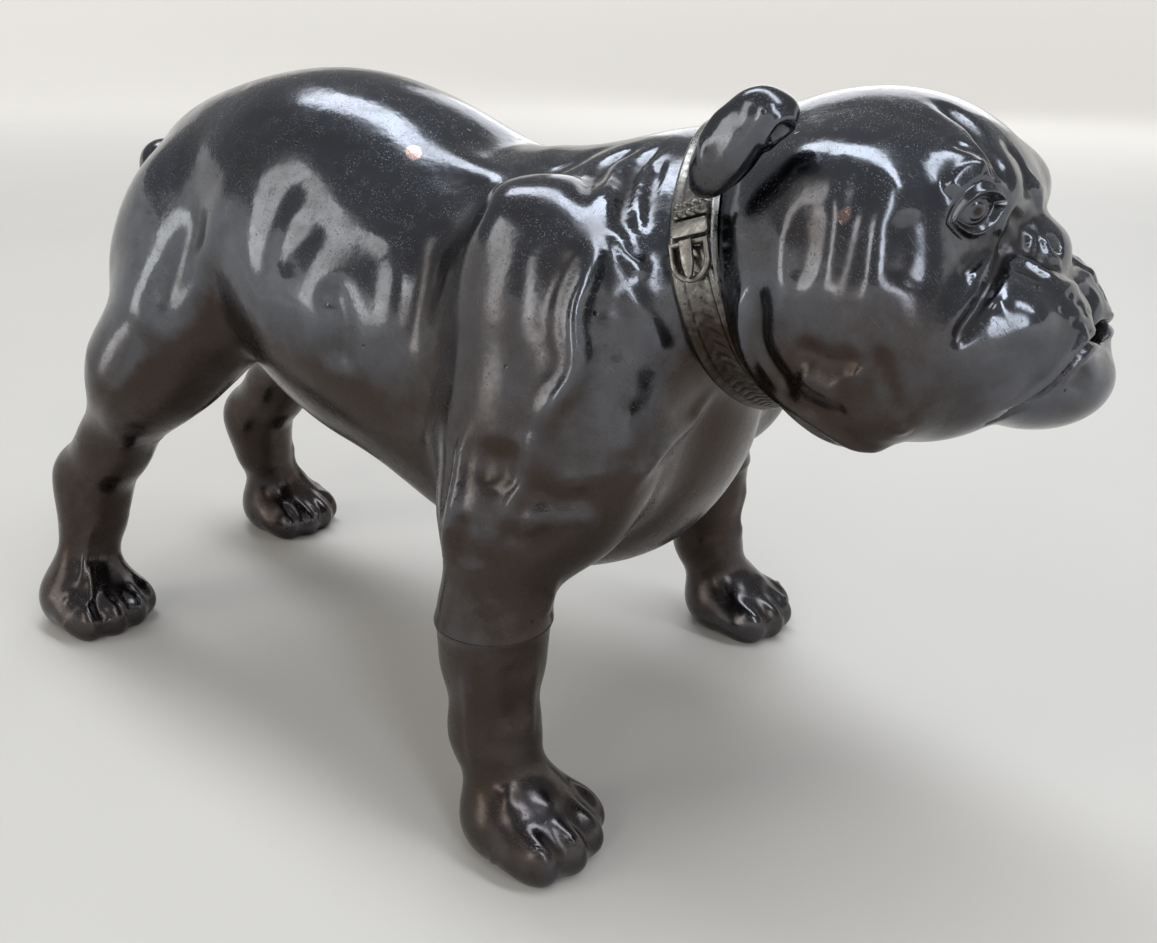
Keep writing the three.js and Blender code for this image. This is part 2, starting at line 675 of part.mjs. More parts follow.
// Places a flat piece on the strap's top, at a distance up the strap from the buckle:
// its +X down the strap, +Y towards the head, +Z out
function onStrap(shape, thickness, upStrap, lift) {
  const radius = girthAt(buckleAngle) + strapTop;
  const angle = buckleAngle - THREE.MathUtils.radToDeg(upStrap / radius);
  const across = new THREE.Vector3(1, 0, 0).transformDirection(collarPlace);
  const along = onNeck(angle + 4, 0, strapTop).sub(onNeck(angle - 4, 0, strapTop)).normalize();
  const out = new THREE.Vector3().crossVectors(along, across);
  const place = onNeck(angle, 0, strapTop + lift);
  const frame = new THREE.Matrix4().makeBasis(along, across, out).setPosition(place);
  const cut = { depth: thickness, bevelEnabled: false, curveSegments: 8 };
  return solid(new THREE.ExtrudeGeometry(shape, cut).applyMatrix4(frame));
}

// An outline with a square upper end and a round lower end
function buckleOutline(length, width) {
  const outline = new THREE.Shape();
  outline.moveTo(-length / 2, -width / 2);
  outline.lineTo(length / 2 - width / 2, -width / 2);
  outline.absarc(length / 2 - width / 2, 0, width / 2, -Math.PI / 2, Math.PI / 2);
  outline.lineTo(-length / 2, width / 2);
  outline.closePath();
  return outline;
}
const frameShape = buckleOutline(buckle.length, buckle.width);
frameShape.holes.push(buckleOutline(buckle.length - 2 * buckle.bar, buckle.width - 2 * buckle.bar));
addPiece('buckle_frame', onStrap(frameShape, buckle.thickness, 0, gap), buckleMetal, 0.3);

const tongueShape = new THREE.Shape();
tongueShape.moveTo(-buckle.length / 2, -tongue.width / 2);
tongueShape.lineTo(buckle.length / 2 - tongue.width, -tongue.width / 2);
tongueShape.lineTo(buckle.length / 2, 0);
tongueShape.lineTo(buckle.length / 2 - tongue.width, tongue.width / 2);
tongueShape.lineTo(-buckle.length / 2, tongue.width / 2);
tongueShape.closePath();
const tongueLift = 2 * gap + buckle.thickness;
addPiece('buckle_tongue', onStrap(tongueShape, tongue.thickness, 0, tongueLift), buckleMetal, 0.3);

// Keepers: plates with cut corners, across the strap
const keeperShape = new THREE.Shape();
keeperShape.moveTo(-keeper.length / 2 + keeper.corner, -keeper.width / 2);
keeperShape.lineTo(keeper.length / 2 - keeper.corner, -keeper.width / 2);
keeperShape.lineTo(keeper.length / 2, -keeper.width / 2 + keeper.corner);
keeperShape.lineTo(keeper.length / 2, keeper.width / 2 - keeper.corner);
keeperShape.lineTo(keeper.length / 2 - keeper.corner, keeper.width / 2);
keeperShape.lineTo(-keeper.length / 2 + keeper.corner, keeper.width / 2);
keeperShape.lineTo(-keeper.length / 2, keeper.width / 2 - keeper.corner);
keeperShape.lineTo(-keeper.length / 2, -keeper.width / 2 + keeper.corner);
keeperShape.closePath();
['lower', 'upper'].forEach((keeperName, n) => {
  const upStrap = (buckle.length + keeper.length) / 2 + keeper.spacing + n * (keeper.length + keeper.spacing);
  addPiece('keeper_' + keeperName, onStrap(keeperShape, keeper.thickness, upStrap, gap), buckleMetal, 0.3);
});

// The ground is under the soles, and the origin is under the middle of the figurine
const bounds = new THREE.Box3().setFromObject(group);
const middle = bounds.getCenter(new THREE.Vector3());
group.position.set(-middle.x, -middle.y, 0);

export default group;
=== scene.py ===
"""Looks of a cast and plated bulldog figurine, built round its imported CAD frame."""

import math

import bpy
import numpy as np
from mathutils import Euler, Matrix, Vector
from mathutils.bvhtree import BVHTree


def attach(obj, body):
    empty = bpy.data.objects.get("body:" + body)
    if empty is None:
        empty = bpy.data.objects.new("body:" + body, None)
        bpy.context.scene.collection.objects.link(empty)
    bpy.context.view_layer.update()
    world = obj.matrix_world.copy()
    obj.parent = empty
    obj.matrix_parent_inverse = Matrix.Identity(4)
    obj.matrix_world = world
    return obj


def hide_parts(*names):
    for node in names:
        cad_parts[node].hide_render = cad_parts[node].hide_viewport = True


bl_info = {
    "name": "Bulldog figurine",
    "version": (1, 0, 0),
    "blender": (4, 5, 0),
    "location": "View3D > Sidebar > Figurine",
    "description": "Models a plated cast metal bulldog with a buckled collar, and sets its studio",
    "category": "Object",
}

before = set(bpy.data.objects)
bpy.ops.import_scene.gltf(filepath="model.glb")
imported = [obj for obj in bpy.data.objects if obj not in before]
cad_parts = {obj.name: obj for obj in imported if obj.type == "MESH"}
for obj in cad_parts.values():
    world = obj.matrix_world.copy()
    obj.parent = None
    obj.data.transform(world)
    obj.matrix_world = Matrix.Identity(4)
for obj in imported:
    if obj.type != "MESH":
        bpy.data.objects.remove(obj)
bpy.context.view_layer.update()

# Sizes below are in millimetres, in the dog's own frame: x runs towards the nose from between
# the legs, y towards the dog's left and z up. A finished piece is moved to the CAD frame.
MM = 0.001
TO_CAD = Vector((-23.694, 0.001, 0.0))

SHOULDER_X = 44.0
HIP_X = -29.0
FRONT_PAW_AHEAD = 6.0
HIND_PAW_BEHIND = 22.0
FRONT_TRACK = 72.0
HIND_TRACK = 50.0
BACK_HEIGHT = 96.5
HEAD_X = 78.0
HEAD_Z = 80.0
HEAD_TURN = -2.0
HEAD_ROLL = 4.0
COLLAR_X = 65.3
COLLAR_Z = 73.0
COLLAR_TILT = 18.0
FORE_SEAM = 32.0
HIND_SEAM = 36.0
PAW_LENGTH = 20.0
PAW_WIDTH = 18.5
PAW_HEIGHT = 12.5
SLEEVE_WIDTH = 24.0
SLEEVE_LENGTH = 14.0
SLEEVE_WALL = 2.0
SLEEVE_FIT = 0.1
MOUTH_IN_BODY = 28.0
MOUTH_IN_HEAD = 16.0
RING_RISE = 0.3
RING_WIDTH = 0.9

# The photograph's camera, in the dog's frame: its place, the way it looks, and its picture
EYE_PLACE = Vector((116.1, -141.0, 104.0))
EYE_FORWARD = Vector((-0.4581, 0.8078, -0.3710))
EYE_RIGHT = Vector((0.8665, 0.4989, 0.0162))
EYE_DOWN = Vector((0.1982, -0.3141, -0.9285))
PICTURE_WIDTH = 1157
PICTURE_HEIGHT = 943
PICTURE_FOCUS = 1130.0


# Forms: distance fields for the blended surface, and balls of clay for its first lump


class Form:
    """A distance field, the balls of its first lump, and a sphere that holds it."""

    def __init__(self, distance, balls, middle, reach):
        self.distance = distance
        self.balls = balls
        self.middle = np.array(middle, float)
        self.reach = reach


def egg(centre, size, pitch=0.0, yaw=0.0):
    """An egg of the given length, width and depth."""
    turn = Euler((0.0, -math.radians(pitch), math.radians(yaw)), "XYZ").to_matrix()
    stretch = Matrix.Diagonal([s / 2 for s in size] + [1.0])
    ball = Matrix.Translation(centre) @ turn.to_4x4() @ stretch
    to_local = np.array(turn.transposed())
    half = np.array(size) / 2

    def distance(p):
        q = (p - np.array(centre)) @ to_local.T / half
        reach = np.sqrt((q * q).sum(1))
        slope = np.sqrt(((q / half) ** 2).sum(1))
        return np.where(slope < 1e-9, -half.min(), reach * (reach - 1) / np.maximum(slope, 1e-9))

    return Form(distance, [ball], centre, half.max())


def bar(start, end, start_width, end_width):
    """A round bar between two points."""
    a, b = np.array(start), np.array(end)
    along = b - a
    steps = max(2, int(np.linalg.norm(along) / 2.0) + 1)
    balls = []
    for n in range(steps + 1):
        t = n / steps
        r = (start_width + (end_width - start_width) * t) / 2
        balls.append(Matrix.Translation(Vector(a + along * t)) @ Matrix.Diagonal([r, r, r, 1.0]))

    def distance(p):
        t = np.clip(((p - a) @ along) / (along @ along), 0.0, 1.0)
        gap = np.linalg.norm(p - a - t[:, None] * along, axis=1)
        return gap - (start_width + (end_width - start_width) * t) / 2

    reach = np.linalg.norm(along) / 2 + max(start_width, end_width) / 2
    return Form(distance, balls, (a + b) / 2, reach)


def soft_min(a, b, k):
    h = np.maximum(k - np.abs(a - b), 0) / k
    return np.minimum(a, b) - h * h * k / 4


def blend(fillet, *forms):
    """Joins forms with a fillet. A form is left out for the points that are far from it."""

    def distance(p):
        d = forms[0].distance(p)
        for form in forms[1:]:
            away = np.linalg.norm(p - form.middle, axis=1) - form.reach
            near = away < d + 2.2 * fillet
            if near.any():
                d[near] = soft_min(d[near], form.distance(p[near]), fillet)
        return d

    low = np.min([form.middle - form.reach for form in forms], axis=0)
    high = np.max([form.middle + form.reach for form in forms], axis=0)
    middle = (low + high) / 2
    reach = max(np.linalg.norm(form.middle - middle) + form.reach for form in forms)
    return Form(distance, [ball for form in forms for ball in form.balls], middle, reach)


def both_sides(form):
    flip = Matrix.Diagonal((1.0, -1.0, 1.0, 1.0))
    mirrored = [flip @ ball @ flip for ball in form.balls]
    middle = form.middle * [1, 0, 1]
    reach = form.reach + abs(form.middle[1])

    def distance(p):
        return form.distance(p * [1, 0, 1] + np.abs(p) * [0, 1, 0])

    return Form(distance, form.balls + mirrored, middle, reach)


COLLAR_MIDDLE = Vector((COLLAR_X, 0.0, COLLAR_Z))
_turn = Matrix.Rotation(math.radians(-HEAD_TURN), 3, "Z")
_roll = Matrix.Rotation(math.radians(HEAD_ROLL), 3, "X")
HEAD_ROTATION = _roll @ _turn


def to_head(p):
    """Turns places on the dog into the head's own upright frame."""
    middle = np.array(COLLAR_MIDDLE)
    return (np.asarray(p) - middle) @ np.array(HEAD_ROTATION).T + middle


def from_head(p):
    middle = np.array(COLLAR_MIDDLE)
    return (np.asarray(p) - middle) @ np.array(HEAD_ROTATION) + middle


def turned(form):
    place = Matrix.Translation(COLLAR_MIDDLE)
    back = place @ HEAD_ROTATION.transposed().to_4x4() @ place.inverted()
    middle = from_head(form.middle[None])[0]
    balls = [back @ ball for ball in form.balls]
    return Form(lambda p: form.distance(to_head(p)), balls, middle, form.reach)


# Trunk
RUMP_Z = BACK_HEIGHT - 7.0 - 35.0 / 2
TRUNK = blend(
    10.0,
    egg((SHOULDER_X - 32.0, 0.0, BACK_HEIGHT - 7.0 - 26.0), (80.0, 58.0, 52.0), -16.0),
    egg((HIP_X + 20.0, 0.0, BACK_HEIGHT - 19.0), (56.0, 41.0, 38.0)),
    egg((HIP_X, 0.0, RUMP_Z), (31.0, 29.0, 35.0), 30.0),
    egg((SHOULDER_X - 7.5, 0.0, 54.5), (54.0, 54.0, 57.5), -12.0),
)
NECK = bar((SHOULDER_X - 6.0, 0.0, 69.3), (HEAD_X - 8.0, 0.0, 79.5), 36.0, 28.0)
MANE = egg((SHOULDER_X + 12.0, 0.0, 74.0), (38.0, 48.0, 31.0))


def paw(x, y, fillet):
    """Four toes and the pad behind them; their claws are sculpted later by strokes."""
    parts = []
    for side, ahead in ((-0.62, 0.15), (-0.22, 0.25), (0.22, 0.25), (0.62, 0.15)):
        at = (x + ahead * PAW_LENGTH, y + side * PAW_WIDTH / 2, 3.5)
        parts.append(egg(at, (PAW_LENGTH / 2, PAW_WIDTH * 0.26, 7.8), -14.0, side * 10.0))
    parts.append(egg((x - 1.5, y, PAW_HEIGHT * 0.36), (PAW_LENGTH * 0.8, PAW_WIDTH * 0.88, PAW_HEIGHT)))
    parts.append(egg((x + 2.2, y, 3.5), (PAW_LENGTH * 0.70, PAW_WIDTH * 0.94, 7.9), -12.0))
    return blend(fillet, *parts)


# Forelegs, drawn on the dog's left
FRONT_Y = FRONT_TRACK / 2
FRONT_PAW_X = SHOULDER_X + FRONT_PAW_AHEAD
ELBOW = (SHOULDER_X - 0.5, FRONT_Y - 3.0, 45.0)
FOREARM = (SHOULDER_X - 1.0, FRONT_Y - 2.0, 27.0)
WRIST = (SHOULDER_X - 0.2, FRONT_Y - 1.0, 16.0)
UPPER_FORELEG = blend(
    6.0,
    egg((SHOULDER_X + 2.0, FRONT_Y - 15.0, 65.0), (30.0, 28.0, 44.0), 12.0),
    egg((SHOULDER_X + 1.5, FRONT_Y - 9.5, 51.5), (28.0, 22.0, 30.0)),
    bar(ELBOW, FOREARM, 14.0, 12.4),
)
LOWER_FORELEG = blend(
    4.0,
    bar((FOREARM[0], FOREARM[1], 32.0), WRIST, 13.0, 10.6),
    bar(WRIST, (FRONT_PAW_X - 3.0, FRONT_Y, 6.25), 10.6, 9.8),
    paw(FRONT_PAW_X, FRONT_Y, 1.4),
)

# Hind legs, drawn on the dog's left
HIND_Y = HIND_TRACK / 2
HIND_PAW_X = HIP_X - HIND_PAW_BEHIND
KNEE = (HIP_X - 1.0, HIND_Y - 7.0, 58.0)
CALF = (HIP_X - 6.0, HIND_Y - 5.5, 49.0)
SHANK = (HIP_X - 17.5, HIND_Y - 5.0, 33.0)
HOCK = (HIP_X - 23.5, HIND_Y - 4.75, 26.0)
UPPER_HIND = blend(
    6.0,
    egg((HIP_X - 2.0, HIND_Y - 12.0, 63.0), (29.0, 20.0, 40.0), -12.0),
    egg((HIP_X + 3.0, HIND_Y - 9.0, 60.0), (20.0, 16.0, 24.0), -20.0),
    bar(KNEE, CALF, 15.0, 17.0),
    bar(CALF, SHANK, 17.0, 11.0),
)
LOWER_HIND = blend(
    6.0,
    bar(SHANK, HOCK, 11.0, 9.8),
    bar((HOCK[0] - 1.4, HOCK[1], 27.0), (HOCK[0] - 0.6, HOCK[1], 18.0), 6.8, 6.8),
    bar(HOCK, (HIND_PAW_X - 3.0, HIND_Y, 6.25), 9.8, 9.0),
    paw(HIND_PAW_X, HIND_Y, 1.4),
)
LEGS = both_sides(blend(4.0, LOWER_FORELEG, LOWER_HIND))
LIMBS = both_sides(blend(6.0, UPPER_FORELEG, UPPER_HIND))
BODY = blend(6.0, TRUNK, LIMBS, MANE, NECK)


# Head, drawn upright and then turned
def head_egg(length, width, depth, ahead, side, up, pitch=0.0):
    return egg((HEAD_X + ahead, side, HEAD_Z + up), (length, width, depth), pitch)


EYE_AT = Vector((HEAD_X + 13.7, 14.6, HEAD_Z + 5.4))
EYEBALL_WIDTH = 6.4
HEAD_MASS = blend(
    5.0,
    head_egg(38.0, 44.0, 29.0, 0.0, 0.0, 3.0),
    both_sides(head_egg(25.0, 20.0, 28.0, 1.5, 16.5, -3.0)),
    both_sides(head_egg(21.0, 15.0, 22.0, 6.0, 18.5, -11.2, -15.0)),
    head_egg(34.0, 34.0, 19.0, 4.5, 0.0, -11.5),
)
FACE = blend(
    2.4,
    HEAD_MASS,
    both_sides(head_egg(16.0, 15.0, 11.0, 9.6, 9.5, 6.6)),
    both_sides(head_egg(26.0, 20.0, 21.0, 11.5, 11.5, -11.0, 25.0)),
    both_sides(head_egg(19.6, 17.0, 15.2, 18.6, 6.5, -7.7, -30.0)),
    head_egg(19.0, 25.0, 13.0, 20.5, 0.0, -14.0),
    head_egg(16.0, 16.0, 12.0, 15.0, 0.0, -3.0),
    head_egg(7.6, 11.0, 6.0, 18.5, 0.0, 0.6),
)
EYEBALL = egg(tuple(EYE_AT), (EYEBALL_WIDTH,) * 3)
HEAD = turned(blend(1.5, FACE, both_sides(EYEBALL)))
NAPE_FOLD = egg((COLLAR_X + 4.5, 0.0, COLLAR_Z + 1.0), (9.0, 46.0, 35.5), COLLAR_TILT)
DOG = blend(4.5, blend(3.5, blend(4.0, BODY, LEGS), HEAD), NAPE_FOLD)

TAIL_ROOT = (HIP_X - 17.0, 0.0, RUMP_Z + 6.0)
TAIL_BEND = (TAIL_ROOT[0] - 6.5, 0.0, TAIL_ROOT[2] - 8.4)
TAIL_TIP = (TAIL_BEND[0] + 1.5, 0.0, TAIL_ROOT[2] - 21.0)
TAIL_JOINTS = 9
TAIL_ROOT_WIDTH = 8.6
TAIL_TIP_WIDTH = 4.2
TAIL_TAPER = 1.3


def tail_place(t):
    """A place along the tail's curve, which passes its bend at two fifths."""
    place = []
    for root, bend, tip in zip(TAIL_ROOT, TAIL_BEND, TAIL_TIP):
        pull = (bend - 0.36 * root - 0.16 * tip) / 0.48
        place.append((1 - t) ** 2 * root + 2 * t * (1 - t) * pull + t * t * tip)
    return tuple(place)


def tail_width(t):
    return TAIL_ROOT_WIDTH + (TAIL_TIP_WIDTH - TAIL_ROOT_WIDTH) * t**TAIL_TAPER


def tail_joint(n):
    start, end = n / TAIL_JOINTS, (n + 1) / TAIL_JOINTS
    return bar(tail_place(start), tail_place(end), tail_width(start), tail_width(end))


TAIL = blend(0.9, egg(TAIL_ROOT, (9.0, 12.0, 13.0), 40.0), *[tail_joint(n) for n in range(TAIL_JOINTS)])


# Clay: lumps joined and remeshed, then laid on the blended surface


def select_only(piece):
    bpy.ops.object.select_all(action="DESELECT")
    piece.select_set(True)
    bpy.context.view_layer.objects.active = piece


def places(piece):
    p = np.empty(len(piece.data.vertices) * 3)
    piece.data.vertices.foreach_get("co", p)
    return p.reshape(-1, 3)


def set_places(piece, p):
    piece.data.vertices.foreach_set("co", np.ascontiguousarray(p).ravel())
    piece.data.update()


def out_directions(piece):
    n = np.empty(len(piece.data.vertices) * 3, np.float32)
    piece.data.vertex_normals.foreach_get("vector", n)
    return n.reshape(-1, 3).astype(float)


def edge_ends(piece):
    e = np.empty(len(piece.data.edges) * 2, np.int32)
    piece.data.edges.foreach_get("vertices", e)
    return e.reshape(-1, 2)


def evened(values, ends):
    """The mean of each vertex's neighbours."""
    count = np.bincount(ends.ravel(), minlength=len(values)).astype(float)
    total = np.empty_like(values)
    for axis in range(values.shape[1]):
        total[:, axis] = np.bincount(ends[:, 0], values[ends[:, 1], axis], len(values))
        total[:, axis] += np.bincount(ends[:, 1], values[ends[:, 0], axis], len(values))
    return total / np.maximum(count, 1)[:, None]


PROBE = 0.02  # how far a slope is felt for


def slope_of(form, p, d):
    return np.stack([(form.distance(p + step) - d) / PROBE for step in np.eye(3) * PROBE], axis=1)


def lay_on(form, p, level=0.0, reach=1.2):
    """Moves points to where the form's distance is the given level, in two steps."""
    d = form.distance(p) - level
    slope = slope_of(form, p, d + level)
    steep = np.maximum((slope * slope).sum(1), 0.05)
    for step in range(2):
        move = -(d / steep)[:, None] * slope
        length = np.linalg.norm(move, axis=1)
        p = p + move * np.minimum(1.0, reach / np.maximum(length, 1e-9))[:, None]
        if step == 0:
            d = form.distance(p) - level
    return p


def remesh(piece, voxel):
    select_only(piece)
    modifier = piece.modifiers.new("Even skin", "REMESH")
    modifier.mode = "VOXEL"
    modifier.voxel_size = voxel
    bpy.ops.object.modifier_apply(modifier=modifier.name)


def settle(piece, form, rounds, level=0.0):
    ends = edge_ends(piece)
    p = places(piece)
    for n in range(rounds):
        if n < rounds - 1:
            p = p * 0.5 + evened(p, ends) * 0.5
        p = lay_on(form, p, level)
    set_places(piece, p)


FIRST_SKIN = 1.8  # the first skin's faces against the last one's
FIRST_SKIN_LEAST = 0.8
POCKET = 0.9  # how far outside the dog the first skin lies, so that creases stay open


def clay(name, form, voxel, keep=None, pocket=0.0):
    """Models a form as by hand: balls joined, made one even skin, and laid on the form."""
    bpy.ops.object.select_all(action="DESELECT")
    balls = []
    for place in form.balls:
        if keep and not keep(place.translation):
            continue
        bpy.ops.mesh.primitive_uv_sphere_add(segments=32, ring_count=16, radius=1.0)
        ball = bpy.context.object
        ball.matrix_world = place
        balls.append(ball)
    for ball in balls:
        ball.select_set(True)
    bpy.context.view_layer.objects.active = balls[0]
    bpy.ops.object.join()
    piece = bpy.context.object
    bpy.ops.object.transform_apply(location=True, rotation=True, scale=True)
    piece.name = name
    voxel *= 1.0
    remesh(piece, max(voxel * FIRST_SKIN, FIRST_SKIN_LEAST))
    settle(piece, form, 3, pocket)
    remesh(piece, voxel)
    settle(piece, form, 4)
    return piece


# Sculpting: strokes and dimples drawn where the photograph shows them


def rounded(a, b, c, d, t):
    """A share t of the way from b to c, on a smooth curve through a, b, c and d."""
    return 0.5 * (2 * b + (c - a) * t + (2 * a - 5 * b + 4 * c - d) * t**2 + (3 * b - a - 3 * c + d) * t**3)


def smooth_line(points, steps=6):
    """A smooth curve through the given points."""
    p = np.array(points, float)
    if len(p) < 3:
        return p
    p = np.vstack([2 * p[0] - p[1], p, 2 * p[-1] - p[-2]])
    line = []
    for n in range(1, len(p) - 2):
        for t in np.arange(steps) / steps:
            a, b, c, d = p[n - 1 : n + 3]
            line.append(rounded(a, b, c, d, t))
    line.append(p[-2])
    return np.array(line)


def skin_tree(piece):
    polygons = [tuple(face.vertices) for face in piece.data.polygons]
    return BVHTree.FromPolygons([tuple(v.co) for v in piece.data.vertices], polygons)


def picture_ray(x, y):
    way = EYE_FORWARD * PICTURE_FOCUS
    way += EYE_RIGHT * (x - PICTURE_WIDTH / 2) + EYE_DOWN * (y - PICTURE_HEIGHT / 2)
    return way.normalized()


LONGEST_STEP = 25.0  # a stroke that leaps further has left its own side
DOG_FROM_EYE = (100, 260, 3)  # where a missed ray is searched, and in what steps


def on_skin(tree, x, y, near=None):
    """The place on the skin that the photograph shows at x, y in its own pixels."""
    way = picture_ray(x, y)
    hit = tree.ray_cast(EYE_PLACE, way)[0]
    if hit is not None and (near is None or (hit - near).length < LONGEST_STEP):
        return hit
    if near is not None:
        return tree.find_nearest(EYE_PLACE + way * (near - EYE_PLACE).dot(way))[0]
    along = (tree.find_nearest(EYE_PLACE + way * reach) for reach in range(*DOG_FROM_EYE))
    return min(along, key=lambda found: found[3])[0]


def traced(tree, points):
    line = []
    near = None
    for x, y in smooth_line(points):
        near = on_skin(tree, x, y, near)
        line.append(np.array(near))
    return np.array(line)


def stroke_height(p, line, height, width, crease=False, taper=0.25):
    """How far a stroke lifts each point: a soft ridge, or a groove if the height is negative."""
    reach = 3.0 * width
    near = np.all((p > line.min(0) - reach) & (p < line.max(0) + reach), axis=1)
    q = p[near]
    best = np.full(len(q), 1e9)
    at = np.zeros(len(q))
    if len(line) == 1:
        best = np.linalg.norm(q - line[0], axis=1)
        at[:] = 0.5
    else:
        run = np.linalg.norm(np.diff(line, axis=0), axis=1)
        total = max(run.sum(), 1e-6)
        start = 0.0
        for a, b, length in zip(line[:-1], line[1:], run):
            if length < 1e-6:
                continue
            t = np.clip(((q - a) @ (b - a)) / length**2, 0.0, 1.0)
            d = np.linalg.norm(q - a - t[:, None] * (b - a), axis=1)
            closer = d < best
            best = np.where(closer, d, best)
            at = np.where(closer, (start + t * length) / total, at)
            start += length
    ends = np.ones(len(q)) if taper <= 0 else np.clip(np.minimum(at, 1 - at) / taper, 0, 1)
    ends = ends * ends * (3 - 2 * ends)
    if len(line) == 1:
        ends = 1.0
    r = best / width
    sharp = np.exp(-r * 1.6) * (1 - np.clip(r / 3, 0, 1))
    shape = sharp if crease else np.exp(-r * r)
    lift = np.zeros(len(p))
    lift[near] = height * shape * ends
    return lift


def mirrored_on_head(line):
    q = to_head(line)
    q[:, 1] *= -1
    return from_head(q)


def mirrored_on_body(line):
    return line * [1, -1, 1]


class Stroke:
    def __init__(self, height, width, points, crease=False, both=True, taper=0.25):
        self.height = height
        self.width = width
        self.points = points
        self.crease = crease
        self.both = both
        self.taper = taper


def sculpt(piece, strokes, mirrored, rounds=1):
    """Lifts and presses the skin along strokes given in the photograph's pixels."""
    tree = skin_tree(piece)
    p = places(piece)
    out = out_directions(piece)
    lift = np.zeros(len(p))
    for stroke in strokes:
        line = traced(tree, stroke.points)
        for path in (line, mirrored(line)) if stroke.both else (line,):
            lift += stroke_height(p, path, stroke.height, stroke.width, stroke.crease, stroke.taper)
    ends = edge_ends(piece)
    for _ in range(rounds):
        lift = lift * 0.5 + evened(lift[:, None], ends)[:, 0] * 0.5
    set_places(piece, p + out * lift[:, None])


RIPPLES = 9


def ripple(piece, height, length, seed):
    """The slight unevenness of a hand-finished casting."""
    p = places(piece)
    rng = np.random.default_rng(seed)
    wave = np.zeros(len(p))
    for _ in range(RIPPLES):
        way = rng.normal(size=3)
        way /= np.linalg.norm(way)
        turns = p @ way * 2 * math.pi / (length * rng.uniform(0.7, 1.6))
        wave += np.sin(turns + rng.uniform(0, 6.28))
    set_places(piece, p + out_directions(piece) * (wave / RIPPLES * height)[:, None])


# Cutting


def cut_away(piece, cutter):
    select_only(piece)
    modifier = piece.modifiers.new("Cut", "BOOLEAN")
    modifier.operation = "DIFFERENCE"
    modifier.solver = "EXACT"
    modifier.object = cutter
    bpy.ops.object.modifier_apply(modifier=modifier.name)
    bpy.data.objects.remove(cutter, do_unlink=True)


def block(low, high):
    middle = [(a + b) / 2 for a, b in zip(low, high)]
    bpy.ops.object.select_all(action="DESELECT")
    bpy.ops.mesh.primitive_cube_add(size=1.0, location=middle)
    cube = bpy.context.object
    cube.scale = [b - a for a, b in zip(low, high)]
    bpy.ops.object.transform_apply(location=True, rotation=True, scale=True)
    return cube


def joined(*pieces):
    bpy.ops.object.select_all(action="DESELECT")
    for piece in pieces:
        piece.select_set(True)
    bpy.context.view_layer.objects.active = pieces[0]
    bpy.ops.object.join()
    return bpy.context.object


COLLAR_TURN = Matrix.Rotation(math.radians(-COLLAR_TILT), 4, "Y")
COLLAR_PLACE = Matrix.Translation(COLLAR_MIDDLE) @ COLLAR_TURN


def collar_block(start, end):
    """A large block along the neck, from one distance ahead of the collar's plane to another."""
    cube = block((start, -80.0, -80.0), (end, 80.0, 80.0))
    cube.matrix_world = COLLAR_PLACE
    select_only(cube)
    bpy.ops.object.transform_apply(location=True, rotation=True, scale=True)
    return cube


def neck_plug(start, end, width):
    bpy.ops.object.select_all(action="DESELECT")
    bpy.ops.mesh.primitive_cylinder_add(vertices=96, radius=width / 2, depth=end - start)
    plug = bpy.context.object
    lie = Matrix.Rotation(math.radians(90), 4, "Y")
    plug.matrix_world = COLLAR_PLACE @ Matrix.Translation(((start + end) / 2, 0, 0)) @ lie
    bpy.ops.object.transform_apply(location=True, rotation=True, scale=True)
    return plug


# Finishing


def keep_mark(piece, name, amount):
    mark = piece.data.attributes.new(name, "FLOAT", "POINT")
    mark.data.foreach_set("value", np.clip(amount, 0, 1).astype(np.float32))


def wear_marks(piece, radius_rounds, depth=0.25):
    """Keeps how hollow or how proud the skin is at each vertex, for the tarnish and the wear."""
    ends = edge_ends(piece)
    p = places(piece)
    out = out_directions(piece)
    smooth = p.copy()
    for _ in range(radius_rounds):
        smooth = smooth * 0.4 + evened(smooth, ends) * 0.6
    proud = ((p - smooth) * out).sum(1)[:, None]
    for _ in range(2):
        proud = evened(proud, ends)
    proud = proud[:, 0]
    keep_mark(piece, "proud", proud / depth)
    keep_mark(piece, "hollow", -proud / depth)


REFLECTED_BROWN_FROM = 64.0  # the height under which a painted reflection of a brown surface below starts to brown the plate
REFLECTED_BROWN_FADE = 34.0


def blotch_marks(piece, name, spots, under=0.0):
    """Marks soft patches, each a place, its radius and strength, and how much downward faces and low parts take of a
    painted reflection of a brown surface below.
    """
    p = places(piece)
    # Painted reflection: downward faces and low parts are browned as if a brown surface lay below them.
    down = np.clip(0.15 - out_directions(piece)[:, 2], 0, 1)
    amount = under * np.clip(down * 2.0 + (REFLECTED_BROWN_FROM - p[:, 2]) / REFLECTED_BROWN_FADE, 0, 1)
    for centre, radius, strength in spots:
        amount += strength * np.exp(-(np.linalg.norm(p - np.array(centre), axis=1) / radius) ** 2)
    keep_mark(piece, name, amount)


def finish_piece(piece, node, material, angle=50.0):
    """Moves a piece into the CAD frame, smooths it, and puts it in the CAD node's place."""
    set_places(piece, (places(piece) + np.array(TO_CAD)) * MM)
    select_only(piece)
    bpy.ops.object.shade_smooth_by_angle(angle=math.radians(angle))
    piece.data.materials.clear()
    piece.data.materials.append(material)
    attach(piece, "root")
    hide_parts(node)


# Materials


def new_group(name, inputs, outputs):
    group = bpy.data.node_groups.new(name, "ShaderNodeTree")
    for label, kind, default in inputs:
        socket = group.interface.new_socket(label, in_out="INPUT", socket_type=kind)
        socket.default_value = default
    for label, kind in outputs:
        group.interface.new_socket(label, in_out="OUTPUT", socket_type=kind)
    return group, group.nodes.new("NodeGroupInput"), group.nodes.new("NodeGroupOutput")


